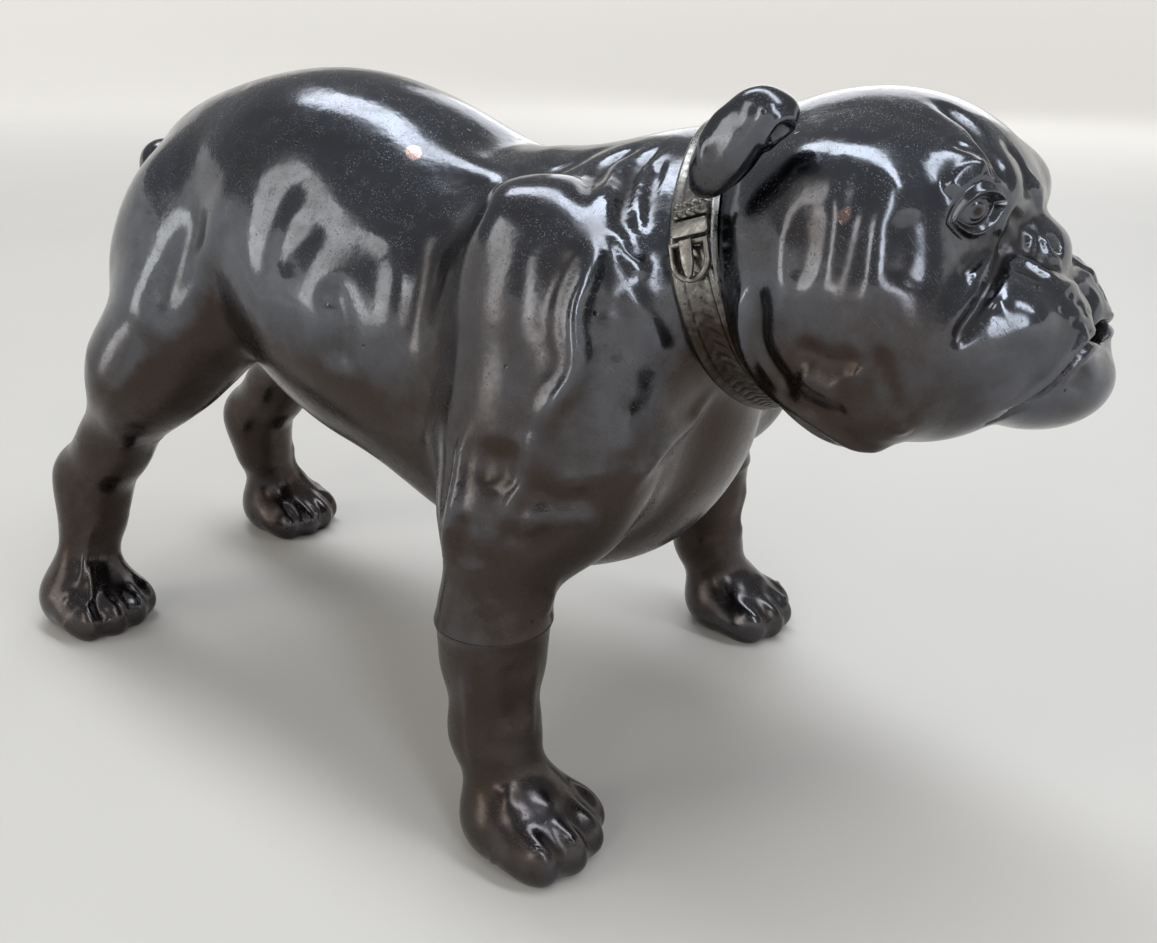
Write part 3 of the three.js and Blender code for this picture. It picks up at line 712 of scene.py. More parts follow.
def add(tree, kind, inputs=(), **settings):
    """Adds a node, sets it, and links or fills its inputs, given as (socket, value) pairs."""
    node = tree.nodes.new(kind)
    for key, value in settings.items():
        setattr(node, key, value)
    for socket, value in inputs:
        if isinstance(value, bpy.types.NodeSocket):
            tree.links.new(value, node.inputs[socket])
        else:
            node.inputs[socket].default_value = value
    return node


def maths(tree, operation, a, b=0.0, clamp=False):
    return add(tree, "ShaderNodeMath", ((0, a), (1, b)), operation=operation, use_clamp=clamp).outputs[0]


def scaled(tree, value, scale, plus):
    """A value times a number, plus another value or number."""
    inputs = ((0, value), (1, scale), (2, plus))
    return add(tree, "ShaderNodeMath", inputs, operation="MULTIPLY_ADD").outputs[0]


def ramp(tree, value, low, high):
    node = add(tree, "ShaderNodeMapRange", (("Value", value), ("From Min", low), ("From Max", high)))
    node.interpolation_type = "SMOOTHSTEP"
    return node.outputs["Result"]


def mixed(tree, amount, a, b):
    node = add(tree, "ShaderNodeMix", data_type="RGBA")
    for socket, value in ((0, amount), (6, a), (7, b)):
        if isinstance(value, bpy.types.NodeSocket):
            tree.links.new(value, node.inputs[socket])
        else:
            node.inputs[socket].default_value = value
    return node.outputs[2]


def noise(tree, vector, scale, detail=4.0, roughness=0.55, distortion=0.0):
    inputs = (("Vector", vector), ("Scale", scale), ("Detail", detail), ("Roughness", roughness))
    return add(tree, "ShaderNodeTexNoise", inputs + (("Distortion", distortion),)).outputs["Fac"]


def in_millimetres(tree):
    place = add(tree, "ShaderNodeTexCoord").outputs["Object"]
    return add(tree, "ShaderNodeMapping", (("Vector", place), ("Scale", (1000.0, 1000.0, 1000.0)))).outputs[0]


def tarnish_group():
    """Cloudy tarnish, finer mottling, and grime that gathers in hollows and leaves proud places."""
    inputs = [
        ("Cloud size", "NodeSocketFloat", 14.0),
        ("Mottle size", "NodeSocketFloat", 1.6),
        ("Hollow grime", "NodeSocketFloat", 1.0),
    ]
    outputs = [(label, "NodeSocketFloat") for label in ("Cloud", "Mottle", "Grime", "Polish")]
    group, given, result = new_group("Tarnish", inputs, outputs)
    place = in_millimetres(group)
    cloud_scale = maths(group, "DIVIDE", 1.0, given.outputs["Cloud size"])
    cloud = noise(group, place, cloud_scale, 5.0, 0.6, 0.6)
    mottle_scale = maths(group, "DIVIDE", 1.0, given.outputs["Mottle size"])
    mottle = noise(group, place, mottle_scale, 6.0, 0.65)
    hollow = add(group, "ShaderNodeAttribute", attribute_name="hollow").outputs["Fac"]
    proud = add(group, "ShaderNodeAttribute", attribute_name="proud").outputs["Fac"]
    uneven = scaled(group, mottle, 0.9, 0.45)
    gathered = maths(group, "MULTIPLY", hollow, given.outputs["Hollow grime"])
    grime = maths(group, "MULTIPLY", gathered, uneven, True)
    group.links.new(ramp(group, cloud, 0.34, 0.72), result.inputs["Cloud"])
    group.links.new(ramp(group, mottle, 0.38, 0.66), result.inputs["Mottle"])
    group.links.new(grime, result.inputs["Grime"])
    group.links.new(maths(group, "MULTIPLY", proud, uneven, True), result.inputs["Polish"])
    return group


def marks_group():
    """Small pits, pin specks and fine scratches in a cast and handled surface."""
    inputs = [("Pit spacing", "NodeSocketFloat", 2.4), ("Scratch length", "NodeSocketFloat", 9.0)]
    outputs = [(label, "NodeSocketFloat") for label in ("Pits", "Specks", "Scratches")]
    group, given, result = new_group("Pits and scratches", inputs, outputs)
    place = in_millimetres(group)
    warp = noise(group, place, 0.35, 2.0)
    spacing = maths(group, "DIVIDE", 1.0, given.outputs["Pit spacing"])
    cells = add(group, "ShaderNodeTexVoronoi", (("Vector", place), ("Scale", spacing)))
    cell_colour = add(group, "ShaderNodeSeparateColor", (("Color", cells.outputs["Color"]),))
    seldom = ramp(group, cell_colour.outputs[0], 0.62, 0.72)
    pit = maths(group, "MULTIPLY", ramp(group, cells.outputs["Distance"], 0.085, 0.03), seldom)
    fine = add(group, "ShaderNodeTexVoronoi", (("Vector", place), ("Scale", 1.9)))
    fine_colour = add(group, "ShaderNodeSeparateColor", (("Color", fine.outputs["Color"]),))
    rare = ramp(group, fine_colour.outputs[1], 0.9, 0.95)
    speck = maths(group, "MULTIPLY", ramp(group, fine.outputs["Distance"], 0.12, 0.05), rare)
    scratches = None
    length = maths(group, "DIVIDE", 1.0, given.outputs["Scratch length"])
    for turn, across in (((0.3, 0.5, 0.9), 5.2), ((1.1, -0.4, 2.3), 6.3), ((-0.7, 0.9, 0.2), 4.4)):
        scale = add(group, "ShaderNodeCombineXYZ", ((0, length), (1, across), (2, across))).outputs[0]
        inputs = (("Vector", place), ("Rotation", turn))
        way = add(group, "ShaderNodeVectorRotate", inputs, rotation_type="EULER_XYZ").outputs[0]
        drawn = add(group, "ShaderNodeVectorMath", ((0, way), (1, scale)), operation="MULTIPLY").outputs[0]
        line = ramp(group, noise(group, drawn, 1.0, 1.0, 0.4), 0.69, 0.74)
        scratches = line if scratches is None else maths(group, "MAXIMUM", scratches, line)
    scratches = maths(group, "MULTIPLY", scratches, ramp(group, warp, 0.35, 0.6))
    group.links.new(pit, result.inputs["Pits"])
    group.links.new(speck, result.inputs["Specks"])
    group.links.new(scratches, result.inputs["Scratches"])
    return group


def new_material(name):
    material = bpy.data.materials.new(name)
    material.use_nodes = True
    tree = material.node_tree
    tree.nodes.clear()
    shader = add(tree, "ShaderNodeBsdfPrincipled")
    output = add(tree, "ShaderNodeOutputMaterial")
    tree.links.new(shader.outputs[0], output.inputs["Surface"])
    shader.inputs["Metallic"].default_value = 1.0
    return material, tree, shader


GRIME_COLOUR = (0.045, 0.034, 0.027, 1.0)
COPPER_COLOUR = (0.42, 0.29, 0.25, 1.0)
SPECK_COLOUR = (0.4, 0.36, 0.32, 1.0)
PIT_COLOUR = (0.02, 0.018, 0.016, 1.0)
STRAP_DULL = (0.15, 0.14, 0.125, 1.0)
BRASS_DULL = (0.35, 0.24, 0.10, 1.0)
BACKDROP_COLOUR = (0.92, 0.90, 0.86, 1.0)
GLOW_COLOUR = (0.92, 0.89, 0.84, 1.0)


def plated_metal(name, groups, clear, dull, brown, grain):
    """Worn silver plate: clear where it is handled, dull and brown where the tarnish stays; the brown also holds a
    painted reflection of a brown surface below on downward faces and low parts.
    """
    tarnish_tree, marks_tree = groups
    material, tree, shader = new_material(name)
    tarnish = add(tree, "ShaderNodeGroup", node_tree=tarnish_tree)
    tarnish.inputs["Cloud size"].default_value = grain["cloud"]
    tarnish.inputs["Mottle size"].default_value = grain["mottle"]
    tarnish.inputs["Hollow grime"].default_value = grain["grime"]
    marks = add(tree, "ShaderNodeGroup", node_tree=marks_tree)
    marks.inputs["Pit spacing"].default_value = grain["pit"]
    marks.inputs["Scratch length"].default_value = grain["scratch"]
    # This mark holds brown tarnish spots, and a painted reflection of a brown surface below on downward faces and low
    # parts.
    stain_and_reflection = add(tree, "ShaderNodeAttribute", attribute_name="stain_and_reflection").outputs["Fac"]
    copper = add(tree, "ShaderNodeAttribute", attribute_name="copper").outputs["Fac"]

    mottle, grime = tarnish.outputs["Mottle"], tarnish.outputs["Grime"]
    pits, scratches = marks.outputs["Pits"], marks.outputs["Scratches"]
    browning = scaled(tree, tarnish.outputs["Cloud"], 0.3, stain_and_reflection)
    brown_amount = maths(tree, "MULTIPLY", browning, scaled(tree, mottle, 0.18, 0.88), True)
    colour = mixed(tree, maths(tree, "MULTIPLY", mottle, grain["dull"], True), clear, dull)
    # Brown: tarnish, and the painted reflection of a brown surface below.
    colour = mixed(tree, brown_amount, colour, brown)
    bare = maths(tree, "SUBTRACT", 1.0, maths(tree, "MULTIPLY", brown_amount, 0.8))
    rubbed = maths(tree, "MULTIPLY", maths(tree, "MULTIPLY", tarnish.outputs["Polish"], 0.45), bare)
    colour = mixed(tree, rubbed, colour, [min(1.0, c * 1.5) for c in clear])
    colour = mixed(tree, maths(tree, "MULTIPLY", grime, 0.7), colour, GRIME_COLOUR)
    copper_edge = ramp(tree, maths(tree, "ADD", copper, maths(tree, "MULTIPLY", mottle, 0.15)), 0.4, 0.75)
    colour = mixed(tree, maths(tree, "MULTIPLY", copper_edge, 0.75), colour, COPPER_COLOUR)
    colour = mixed(tree, maths(tree, "MULTIPLY", marks.outputs["Specks"], 0.12), colour, SPECK_COLOUR)
    colour = mixed(tree, maths(tree, "MULTIPLY", pits, 0.8), colour, PIT_COLOUR)
    tree.links.new(colour, shader.inputs["Base Color"])

    rough = scaled(tree, mottle, grain["rough_spread"], grain["rough"])
    rough = scaled(tree, brown_amount, 0.12, rough)
    rough = maths(tree, "ADD", rough, maths(tree, "MULTIPLY", grime, 0.3))
    rough = maths(tree, "ADD", rough, maths(tree, "MULTIPLY", scratches, 0.15), True)
    tree.links.new(rough, shader.inputs["Roughness"])

    place = in_millimetres(tree)
    height = maths(tree, "MULTIPLY", noise(tree, place, 0.45, 2.0), grain["wave"])
    height = maths(tree, "SUBTRACT", height, maths(tree, "MULTIPLY", pits, 0.06))
    height = maths(tree, "SUBTRACT", height, maths(tree, "MULTIPLY", scratches, 0.012))
    height = maths(tree, "ADD", height, maths(tree, "MULTIPLY", noise(tree, place, 3.5, 3.0), 0.0035))
    bump = add(tree, "ShaderNodeBump", (("Strength", 1.0), ("Distance", MM), ("Height", height)))
    tree.links.new(bump.outputs[0], shader.inputs["Normal"])
    return material


# Sizes and colours a user would change


class FigurineSettings(bpy.types.PropertyGroup):
    body_detail: bpy.props.FloatProperty(
        name="Body detail", description="Size of the body skin's faces",
        default=0.7 * MM, unit="LENGTH", precision=5,
    )
    head_detail: bpy.props.FloatProperty(
        name="Head detail", description="Size of the head skin's faces",
        default=0.39 * MM, unit="LENGTH", precision=5,
    )
    leg_detail: bpy.props.FloatProperty(
        name="Leg detail", description="Size of the lower legs' faces",
        default=0.38 * MM, unit="LENGTH", precision=5,
    )
    ear_detail: bpy.props.FloatProperty(
        name="Ear and tail detail", description="Size of the ears' and tail's faces",
        default=0.28 * MM, unit="LENGTH", precision=5,
    )
    seam: bpy.props.FloatProperty(
        name="Seam", description="Gap between soldered castings",
        default=0.014 * MM, unit="LENGTH", precision=5,
    )
    unevenness: bpy.props.FloatProperty(
        name="Unevenness", description="Height of the casting's soft waves",
        default=0.22 * MM, unit="LENGTH", precision=5,
    )
    strap_width: bpy.props.FloatProperty(
        name="Strap width", description="Width of the collar strap",
        default=6.4 * MM, unit="LENGTH", precision=5,
    )
    strap_thickness: bpy.props.FloatProperty(
        name="Strap thickness", description="Thickness of the collar strap",
        default=1.2 * MM, unit="LENGTH", precision=5,
    )


class FinishSettings(bpy.types.PropertyGroup):
    plate_clear: bpy.props.FloatVectorProperty(
        name="Clear plate", description="Plate that is still clear",
        default=(0.138, 0.150, 0.174, 1.0), size=4, subtype="COLOR",
    )
    plate_dull: bpy.props.FloatVectorProperty(
        name="Dull plate", description="Plate gone dark",
        default=(0.080, 0.083, 0.092, 1.0), size=4, subtype="COLOR",
    )
    # Also painted on downward faces and low parts as a reflection of a brown surface below.
    plate_brown: bpy.props.FloatVectorProperty(
        name="Brown tarnish and reflection", description="Plate gone brown",
        default=(0.056, 0.043, 0.037, 1.0), size=4, subtype="COLOR",
    )
    strap_clear: bpy.props.FloatVectorProperty(
        name="Clear strap", description="Strap where it is rubbed",
        default=(0.34, 0.335, 0.32, 1.0), size=4, subtype="COLOR",
    )
    strap_brown: bpy.props.FloatVectorProperty(
        name="Brown strap", description="Strap gone yellow-brown",
        default=(0.044, 0.033, 0.026, 1.0), size=4, subtype="COLOR",
    )
    brass: bpy.props.FloatVectorProperty(
        name="Brass", description="Sleeve inside the neck",
        default=(0.62, 0.46, 0.20, 1.0), size=4, subtype="COLOR",
    )
    floor: bpy.props.FloatVectorProperty(
        name="Floor", description="Studio floor",
        default=(0.70, 0.68, 0.65, 1.0), size=4, subtype="COLOR",
    )


def finishes():
    return bpy.context.scene.figurine_finishes


def sizes():
    return bpy.context.scene.figurine_sizes


_made = {}


def dark_plate():
    if "plate" not in _made:
        _made["groups"] = (tarnish_group(), marks_group())
        f = finishes()
        values = dict(
            cloud=22.0, mottle=5.0, grime=0.7, pit=4.5, scratch=10.0, dull=0.5,
            rough=0.10, rough_spread=0.08, wave=0.04,
        )
        colours = tuple(f.plate_clear), tuple(f.plate_dull), tuple(f.plate_brown)
        _made["plate"] = plated_metal("Dark tarnished plate", _made["groups"], *colours, values)
    return _made["plate"]


def strap_plate():
    if "strap" not in _made:
        dark_plate()
        f = finishes()
        values = dict(
            cloud=6.0, mottle=0.8, grime=1.3, pit=2.0, scratch=4.0, dull=0.6,
            rough=0.2, rough_spread=0.15, wave=0.05,
        )
        colours = tuple(f.strap_clear), STRAP_DULL, tuple(f.strap_brown)
        _made["strap"] = plated_metal("Strap plate", _made["groups"], *colours, values)
    return _made["strap"]


def sleeve_brass():
    material, tree, shader = new_material("Sleeve brass")
    place = in_millimetres(tree)
    mottle = ramp(tree, noise(tree, place, 0.4, 5.0), 0.4, 0.65)
    brass = tuple(finishes().brass)
    tree.links.new(mixed(tree, mottle, brass, BRASS_DULL), shader.inputs["Base Color"])
    tree.links.new(scaled(tree, mottle, 0.2, 0.28), shader.inputs["Roughness"])
    return material


# What the photograph shows, as strokes in its own pixels: height and width are in millimetres

HEAD_STROKES = (
    Stroke(-0.9, 3.2, ((980, 214),)),
    Stroke(0.6, 2.6, ((975, 162),)),
    Stroke(0.7, 2.0, ((1038, 185), (1034, 200)), both=False),
    Stroke(-0.6, 1.0, ((1010, 214), (1022, 221), (1036, 223)), both=False),
    Stroke(
        -0.9, 1.3, ((928, 97), (955, 112), (978, 130), (992, 150), (1002, 165), (1011, 182), (1006, 205)), both=False
    ),
    Stroke(-0.45, 0.9, ((945, 138), (965, 148), (983, 158), (994, 172), (999, 186))),
    Stroke(-0.4, 0.8, ((1000, 140), (1018, 158), (1026, 178), (1026, 195)), both=False),
    Stroke(0.5, 1.0, ((946, 196), (953, 182), (964, 171), (980, 169), (990, 176))),
    Stroke(0.5, 0.9, ((1004, 210), (998, 232), (990, 247), (978, 266), (966, 282)), taper=0.15),
    Stroke(-0.55, 0.5, ((999, 228), (988, 247), (974, 266), (960, 278)), taper=0.15),
    Stroke(
        -0.95, 0.75, ((1008, 224), (1005, 245), (999, 265), (991, 283), (981, 302), (966, 325), (950, 350)),
        taper=0.15,
    ),
    Stroke(0.45, 1.3, ((1012, 275), (1002, 295), (990, 312))),
    Stroke(0.45, 1.3, ((1024, 240), (1036, 241))),
    Stroke(-1.1, 0.55, ((1049, 239), (1056, 240), (1060, 248), (1057, 254)), taper=0.1),
    Stroke(0.4, 0.5, ((1043, 234), (1046, 246), (1052, 257), (1062, 262))),
    Stroke(-0.5, 0.6, ((1030, 250), (1038, 258), (1048, 264), (1060, 268))),
    Stroke(0.35, 0.6, ((1008, 262), (1024, 260), (1036, 266), (1050, 275), (1062, 279))),
    Stroke(-0.6, 0.6, ((1072, 258), (1087, 270), (1101, 286), (1112, 302), (1116, 314)), both=False),
    Stroke(1.0, 2.8, ((1034, 322),)),
    Stroke(-0.4, 1.4, ((1008, 262), (1030, 270), (1050, 280))),
    Stroke(0.35, 0.8, ((1052, 294), (1062, 287), (1078, 286), (1091, 292), (1098, 305), (1094, 320)), taper=0.15),
    Stroke(-0.3, 0.6, ((1074, 296), (1083, 306), (1088, 320))),
    Stroke(-0.4, 0.45, ((1037, 285), (1040, 290))),
    Stroke(-0.35, 0.35, ((1070, 296),)),
    Stroke(-0.35, 0.35, ((1089, 311),)),
    Stroke(-0.3, 0.3, ((1078, 303),)),
    Stroke(-0.3, 0.3, ((1062, 310),)),
    Stroke(-0.3, 0.3, ((1074, 322),)),
    Stroke(
        -1.3, 0.45,
        ((1112, 320), (1102, 330), (1090, 343), (1078, 358), (1062, 377), (1046, 392), (1022, 406), (1000, 419),
         (982, 426)),
        crease=True, taper=0.04,
    ),
    Stroke(-0.9, 0.7, ((1113, 316), (1104, 325), (1095, 337)), taper=0.3),
    Stroke(
        0.4, 0.5, ((1102, 318), (1092, 334), (1076, 350), (1059, 370), (1042, 386), (1018, 401), (992, 414)),
        taper=0.12,
    ),
    Stroke(0.3, 0.5, ((1116, 330), (1104, 339), (1090, 352), (1074, 370), (1054, 391)), taper=0.2),
    Stroke(0.35, 0.45, ((1081, 324), (1084, 335), (1079, 346))),
    Stroke(-0.45, 1.8, ((1072, 395), (1080, 380), (1088, 365))),
    Stroke(-0.7, 1.3, ((790, 342), (815, 355), (840, 362), (862, 350))),
    Stroke(0.6, 1.2, ((797, 370), (818, 386), (842, 396))),
    Stroke(-0.5, 1.0, ((800, 400), (825, 412), (850, 412))),
    Stroke(0.4, 0.8, ((855, 376),)),
    Stroke(-0.5, 1.0, ((872, 340), (884, 368), (894, 398), (900, 422))),
    Stroke(0.4, 0.9, ((903, 430),)),
    Stroke(
        0.6, 0.9,
        ((745, 282), (741, 325), (748, 358), (762, 383), (785, 403), (812, 420), (835, 435), (860, 447), (900, 447)),
        taper=0.1,
    ),
    Stroke(-0.8, 1.2, ((760, 282), (757, 328), (763, 354), (780, 380), (802, 398))),
    Stroke(0.3, 1.8, ((862, 130), (838, 180), (835, 215), (827, 260), (815, 290), (800, 330))),
    Stroke(-0.3, 1.8, ((866, 165), (857, 200), (849, 250), (845, 300))),
    Stroke(0.35, 1.8, ((882, 150), (893, 190), (878, 230), (868, 290), (872, 330))),
    Stroke(0.3, 1.8, ((772, 215), (783, 240), (779, 300), (779, 335))),
    Stroke(-0.3, 2.0, ((810, 200), (806, 250), (800, 290))),
    Stroke(-0.5, 1.8, ((905, 205), (915, 245), (905, 295))),
)
PUPIL = (980, 213)
EYE_CORNERS = ((956, 220), (1004, 202))
EYE_OPENING = 1.9
EYE_FINE = 4.8  # how far round each eye the skin is made finer
EYE_REACH = 6.0
EYE_DEPTH = 0.95
EYE_EDGE = 0.06
BALL_RISE = 0.6
BALL_RADIUS = 2.7
IRIS_RADIUS = 1.15
PUPIL_RADIUS = 0.45

BODY_STROKES = (
    Stroke(-0.8, 1.1, ((580, 205), (588, 185), (602, 166), (625, 152), (652, 143))),
    Stroke(-0.9, 1.0, ((624, 245), (622, 215), (627, 190), (636, 168), (652, 152), (672, 141))),
    Stroke(-0.7, 0.8, ((648, 240), (650, 210), (652, 185), (658, 165), (668, 152))),
    Stroke(0.6, 1.2, ((607, 225), (608, 200), (613, 178), (625, 163), (645, 150))),
    Stroke(0.5, 1.0, ((636, 235), (638, 205), (642, 180), (652, 163))),
    Stroke(-0.35, 1.2, ((545, 175), (570, 165), (595, 152), (620, 146))),
    Stroke(
        1.25, 1.6,
        ((606, 225), (598, 245), (590, 265), (582, 285), (574, 305), (572, 330), (575, 355), (570, 378), (555, 400),
         (545, 425), (540, 450)),
    ),
    Stroke(-0.5, 3.0, ((572, 235), (556, 280), (548, 320), (546, 360))),
    Stroke(0.5, 1.2, ((610, 222), (618, 240), (624, 255), (635, 265), (650, 280))),
    Stroke(0.4, 1.3, ((620, 280), (640, 308), (655, 335), (668, 365))),
    Stroke(-0.35, 2.2, ((600, 290), (612, 330), (618, 370))),
    Stroke(0.7, 1.3, ((715, 385), (690, 420), (665, 445), (640, 475), (622, 500))),
    Stroke(0.3, 1.3, ((629, 400), (626, 430), (621, 460))),
    Stroke(-0.5, 1.2, ((530, 480), (560, 500), (600, 490))),
    Stroke(0.4, 1.3, ((560, 470), (585, 480), (610, 465))),
    Stroke(0.6, 0.9, ((474, 415), (463, 445), (458, 480), (450, 520), (446, 552), (449, 575))),
    Stroke(-0.7, 2.2, ((497, 440), (500, 492))),
    Stroke(0.5, 1.1, ((516, 420), (526, 445), (522, 475), (508, 505), (495, 532))),
    Stroke(0.55, 1.1, ((520, 540), (527, 524), (544, 516), (575, 518), (604, 520)), taper=0.15),
    Stroke(0.5, 0.8, ((553, 575), (550, 600), (541, 618))),
    Stroke(0.45, 1.6, ((478, 555), (486, 590), (492, 620))),
    Stroke(-0.5, 1.6, ((463, 510), (462, 545), (466, 570))),
    Stroke(-0.5, 1.4, ((505, 525), (530, 542), (556, 530))),
    Stroke(0.7, 3.0, ((420, 135), (480, 170), (500, 185), (495, 215), (472, 250), (455, 295))),
    Stroke(0.45, 2.6, ((375, 225), (398, 262), (396, 310), (385, 350))),
    Stroke(-0.35, 2.2, ((410, 225), (422, 262), (415, 310), (400, 350))),
    Stroke(0.35, 2.2, ((445, 235), (450, 270), (440, 310), (425, 345))),
    Stroke(-0.8, 2.4, ((325, 275), (340, 320), (336, 372))),
    Stroke(-0.45, 2.6, ((318, 215), (296, 245), (276, 275))),
    Stroke(-0.6, 3.0, ((295, 165), (275, 205), (262, 255), (270, 300))),
    Stroke(0.6, 2.8, ((245, 150), (225, 195), (208, 245), (198, 290), (180, 340), (160, 385))),
    Stroke(-0.6, 2.6, ((205, 200), (178, 265), (150, 330))),
    Stroke(0.3, 1.8, ((140, 428), (128, 450), (118, 462))),
    Stroke(0.3, 1.4, ((152, 330), (135, 365), (112, 400), (104, 440))),
)
FORELEG_STROKES = (
    Stroke(0.4, 0.9, ((466, 650), (468, 700), (473, 770))),
    Stroke(-0.5, 1.8, ((505, 660), (515, 700), (512, 735))),
    Stroke(0.4, 1.2, ((535, 655), (530, 700), (528, 745))),
    Stroke(0.3, 1.3, ((507, 800),)),
    Stroke(0.3, 1.3, ((549, 806),)),
    Stroke(0.3, 0.45, ((494, 856), (492, 862))),
    Stroke(0.3, 0.45, ((536, 846), (535, 853))),
    Stroke(0.3, 0.45, ((573, 838), (574, 845))),
    Stroke(0.3, 0.45, ((598, 816), (600, 823))),
)
HIND_LEG_STROKES = (
    Stroke(0.45, 1.0, ((90, 520), (84, 560), (80, 590))),
    Stroke(0.4, 0.8, ((90, 560), (91, 590), (88, 615))),
    Stroke(0.3, 1.1, ((68, 602),)),
    Stroke(0.3, 0.45, ((66, 622), (65, 628))),
    Stroke(0.3, 0.45, ((108, 618), (108, 624))),
    Stroke(0.3, 0.45, ((132, 604), (133, 610))),
)
EAR_STROKES = (
    Stroke(0.3, 1.7, ((788, 100), (768, 116), (750, 140), (735, 165), (728, 186))),
    Stroke(-0.25, 1.5, ((748, 106), (728, 124), (717, 148), (716, 168))),
    Stroke(0.25, 0.9, ((725, 96), (708, 118), (700, 145), (704, 175))),
    Stroke(
        0.4, 0.5, ((765, 147), (768, 132), (780, 119), (792, 119), (792, 134), (780, 149), (765, 147)), taper=0.05
    ),
    Stroke(-1.0, 0.75, ((772, 142), (786, 125)), taper=0.1),
)
COPPER_SPOTS = ((413, 150, 1.1, 1.0), (414, 156, 0.9, 1.0), (846, 212, 0.8, 0.75), (842, 220, 0.7, 0.7))

# Brown stains on the near side: each a place, its radius and its strength
BODY_BROWN = [
    ((42.0, -24.0, 66.0), 16.0, 0.9),
    ((46.0, -22.0, 48.0), 14.0, 0.8),
    ((58.0, -10.0, 48.0), 14.0, 0.8),
    ((0.0, -10.0, 42.0), 18.0, 0.8),
    ((-42.0, -20.0, 45.0), 12.0, 0.5),
]
HEAD_BROWN = [((80.0, -24.0, 66.0), 9.0, 0.8), ((76.0, -26.0, 84.0), 6.0, 0.5), ((88.0, -24.0, 72.0), 8.0, 0.5)]
IRIS_BROWN = ((1.5, 1.3), (1.05, -2.6), (0.55, 3.0))  # an outer ring, a clear ring and the pupil
STRAP_BROWN = [
    ((67.5, -24.0, 66.0), 10.0, 1.0),
    ((69.5, -21.0, 59.0), 10.0, 1.0),
    ((71.5, -13.0, 52.0), 10.0, 1.0),
    ((72.5, -4.0, 49.0), 10.0, 1.0),
]


def other_side(spots):
    return [((x, -y, z), radius, strength) for (x, y, z), radius, strength in spots]


def copper_marks(piece):
    tree = skin_tree(piece)
    spots = []
    for x, y, radius, strength in COPPER_SPOTS:
        hit = tree.ray_cast(EYE_PLACE, picture_ray(x, y))[0]
        if hit is not None:
            spots.append((tuple(hit), radius, strength))
    blotch_marks(piece, "copper", spots)


class BuildBody(bpy.types.Operator):
    """Model the hollow body casting with its upper legs."""

    bl_idname = "figurine.body"
    bl_label = "Body casting"

    def execute(self, context):
        s = sizes()
        body = clay("body-casting", DOG, s.body_detail / MM, pocket=POCKET)
        ripple(body, s.unevenness / MM, 17.0, 5)
        sculpt(body, BODY_STROKES, mirrored_on_body)
        raise_rings(body)
        half = s.seam / MM / 2
        cut_away(body, collar_block(-half, 160.0))
        hind = block((-130.0, -70.0, -30.0), (KNEE[0] + 15.0, 70.0, HIND_SEAM + half))
        inside = FRONT_Y - PAW_WIDTH * 0.85
        low, high = SHOULDER_X - 30.0, 130.0
        right = block((low, -70.0, -30.0), (high, -inside, FORE_SEAM + half))
        left = block((low, inside, -30.0), (high, 70.0, FORE_SEAM + half))
        cut_away(body, joined(hind, right, left))
        cut_away(body, neck_plug(-SLEEVE_LENGTH / 2 - SLEEVE_FIT, 12.0, SLEEVE_WIDTH + 2 * SLEEVE_FIT))
        cut_away(body, neck_plug(-MOUTH_IN_BODY, 0.0, SLEEVE_WIDTH - 2 * SLEEVE_WALL))
        wear_marks(body, 10)
        # The last number is how much downward faces and low parts take of the painted reflection of a brown surface
        # below.
        blotch_marks(body, "stain_and_reflection", BODY_BROWN + other_side(BODY_BROWN), 0.95)
        copper_marks(body)
        finish_piece(body, "body_casting", dark_plate())
        return {"FINISHED"}


def raise_rings(piece):
    """The ring round each foreleg where the lower leg is soldered on."""
    p = places(piece)
    fore = (p[:, 0] > SHOULDER_X - 20) & (np.abs(p[:, 1]) > FRONT_Y - 15)
    rise = RING_RISE * np.exp(-(((p[:, 2] - FORE_SEAM) / RING_WIDTH) ** 2))
    set_places(piece, p + out_directions(piece) * np.where(fore, rise, 0.0)[:, None])


def soft_step(x, width):
    """One where x is negative and nothing where it is positive."""
    return 1 / (1 + np.exp(np.clip(x / width, -30, 30)))


def refine_near(piece, centres, radius, cuts):
    """Cuts the faces near some places into finer ones."""
    select_only(piece)
    p = places(piece)
    near = np.zeros(len(p), bool)
    for centre in centres:
        near |= np.linalg.norm(p - np.array(centre), axis=1) < radius
    bpy.ops.object.mode_set(mode="EDIT")
    bpy.ops.mesh.select_all(action="DESELECT")
    bpy.ops.object.mode_set(mode="OBJECT")
    piece.data.vertices.foreach_set("select", near)
    bpy.ops.object.mode_set(mode="EDIT")
    bpy.ops.mesh.select_mode(type="VERT")
    bpy.ops.mesh.subdivide(number_cuts=cuts)
    bpy.ops.object.mode_set(mode="OBJECT")


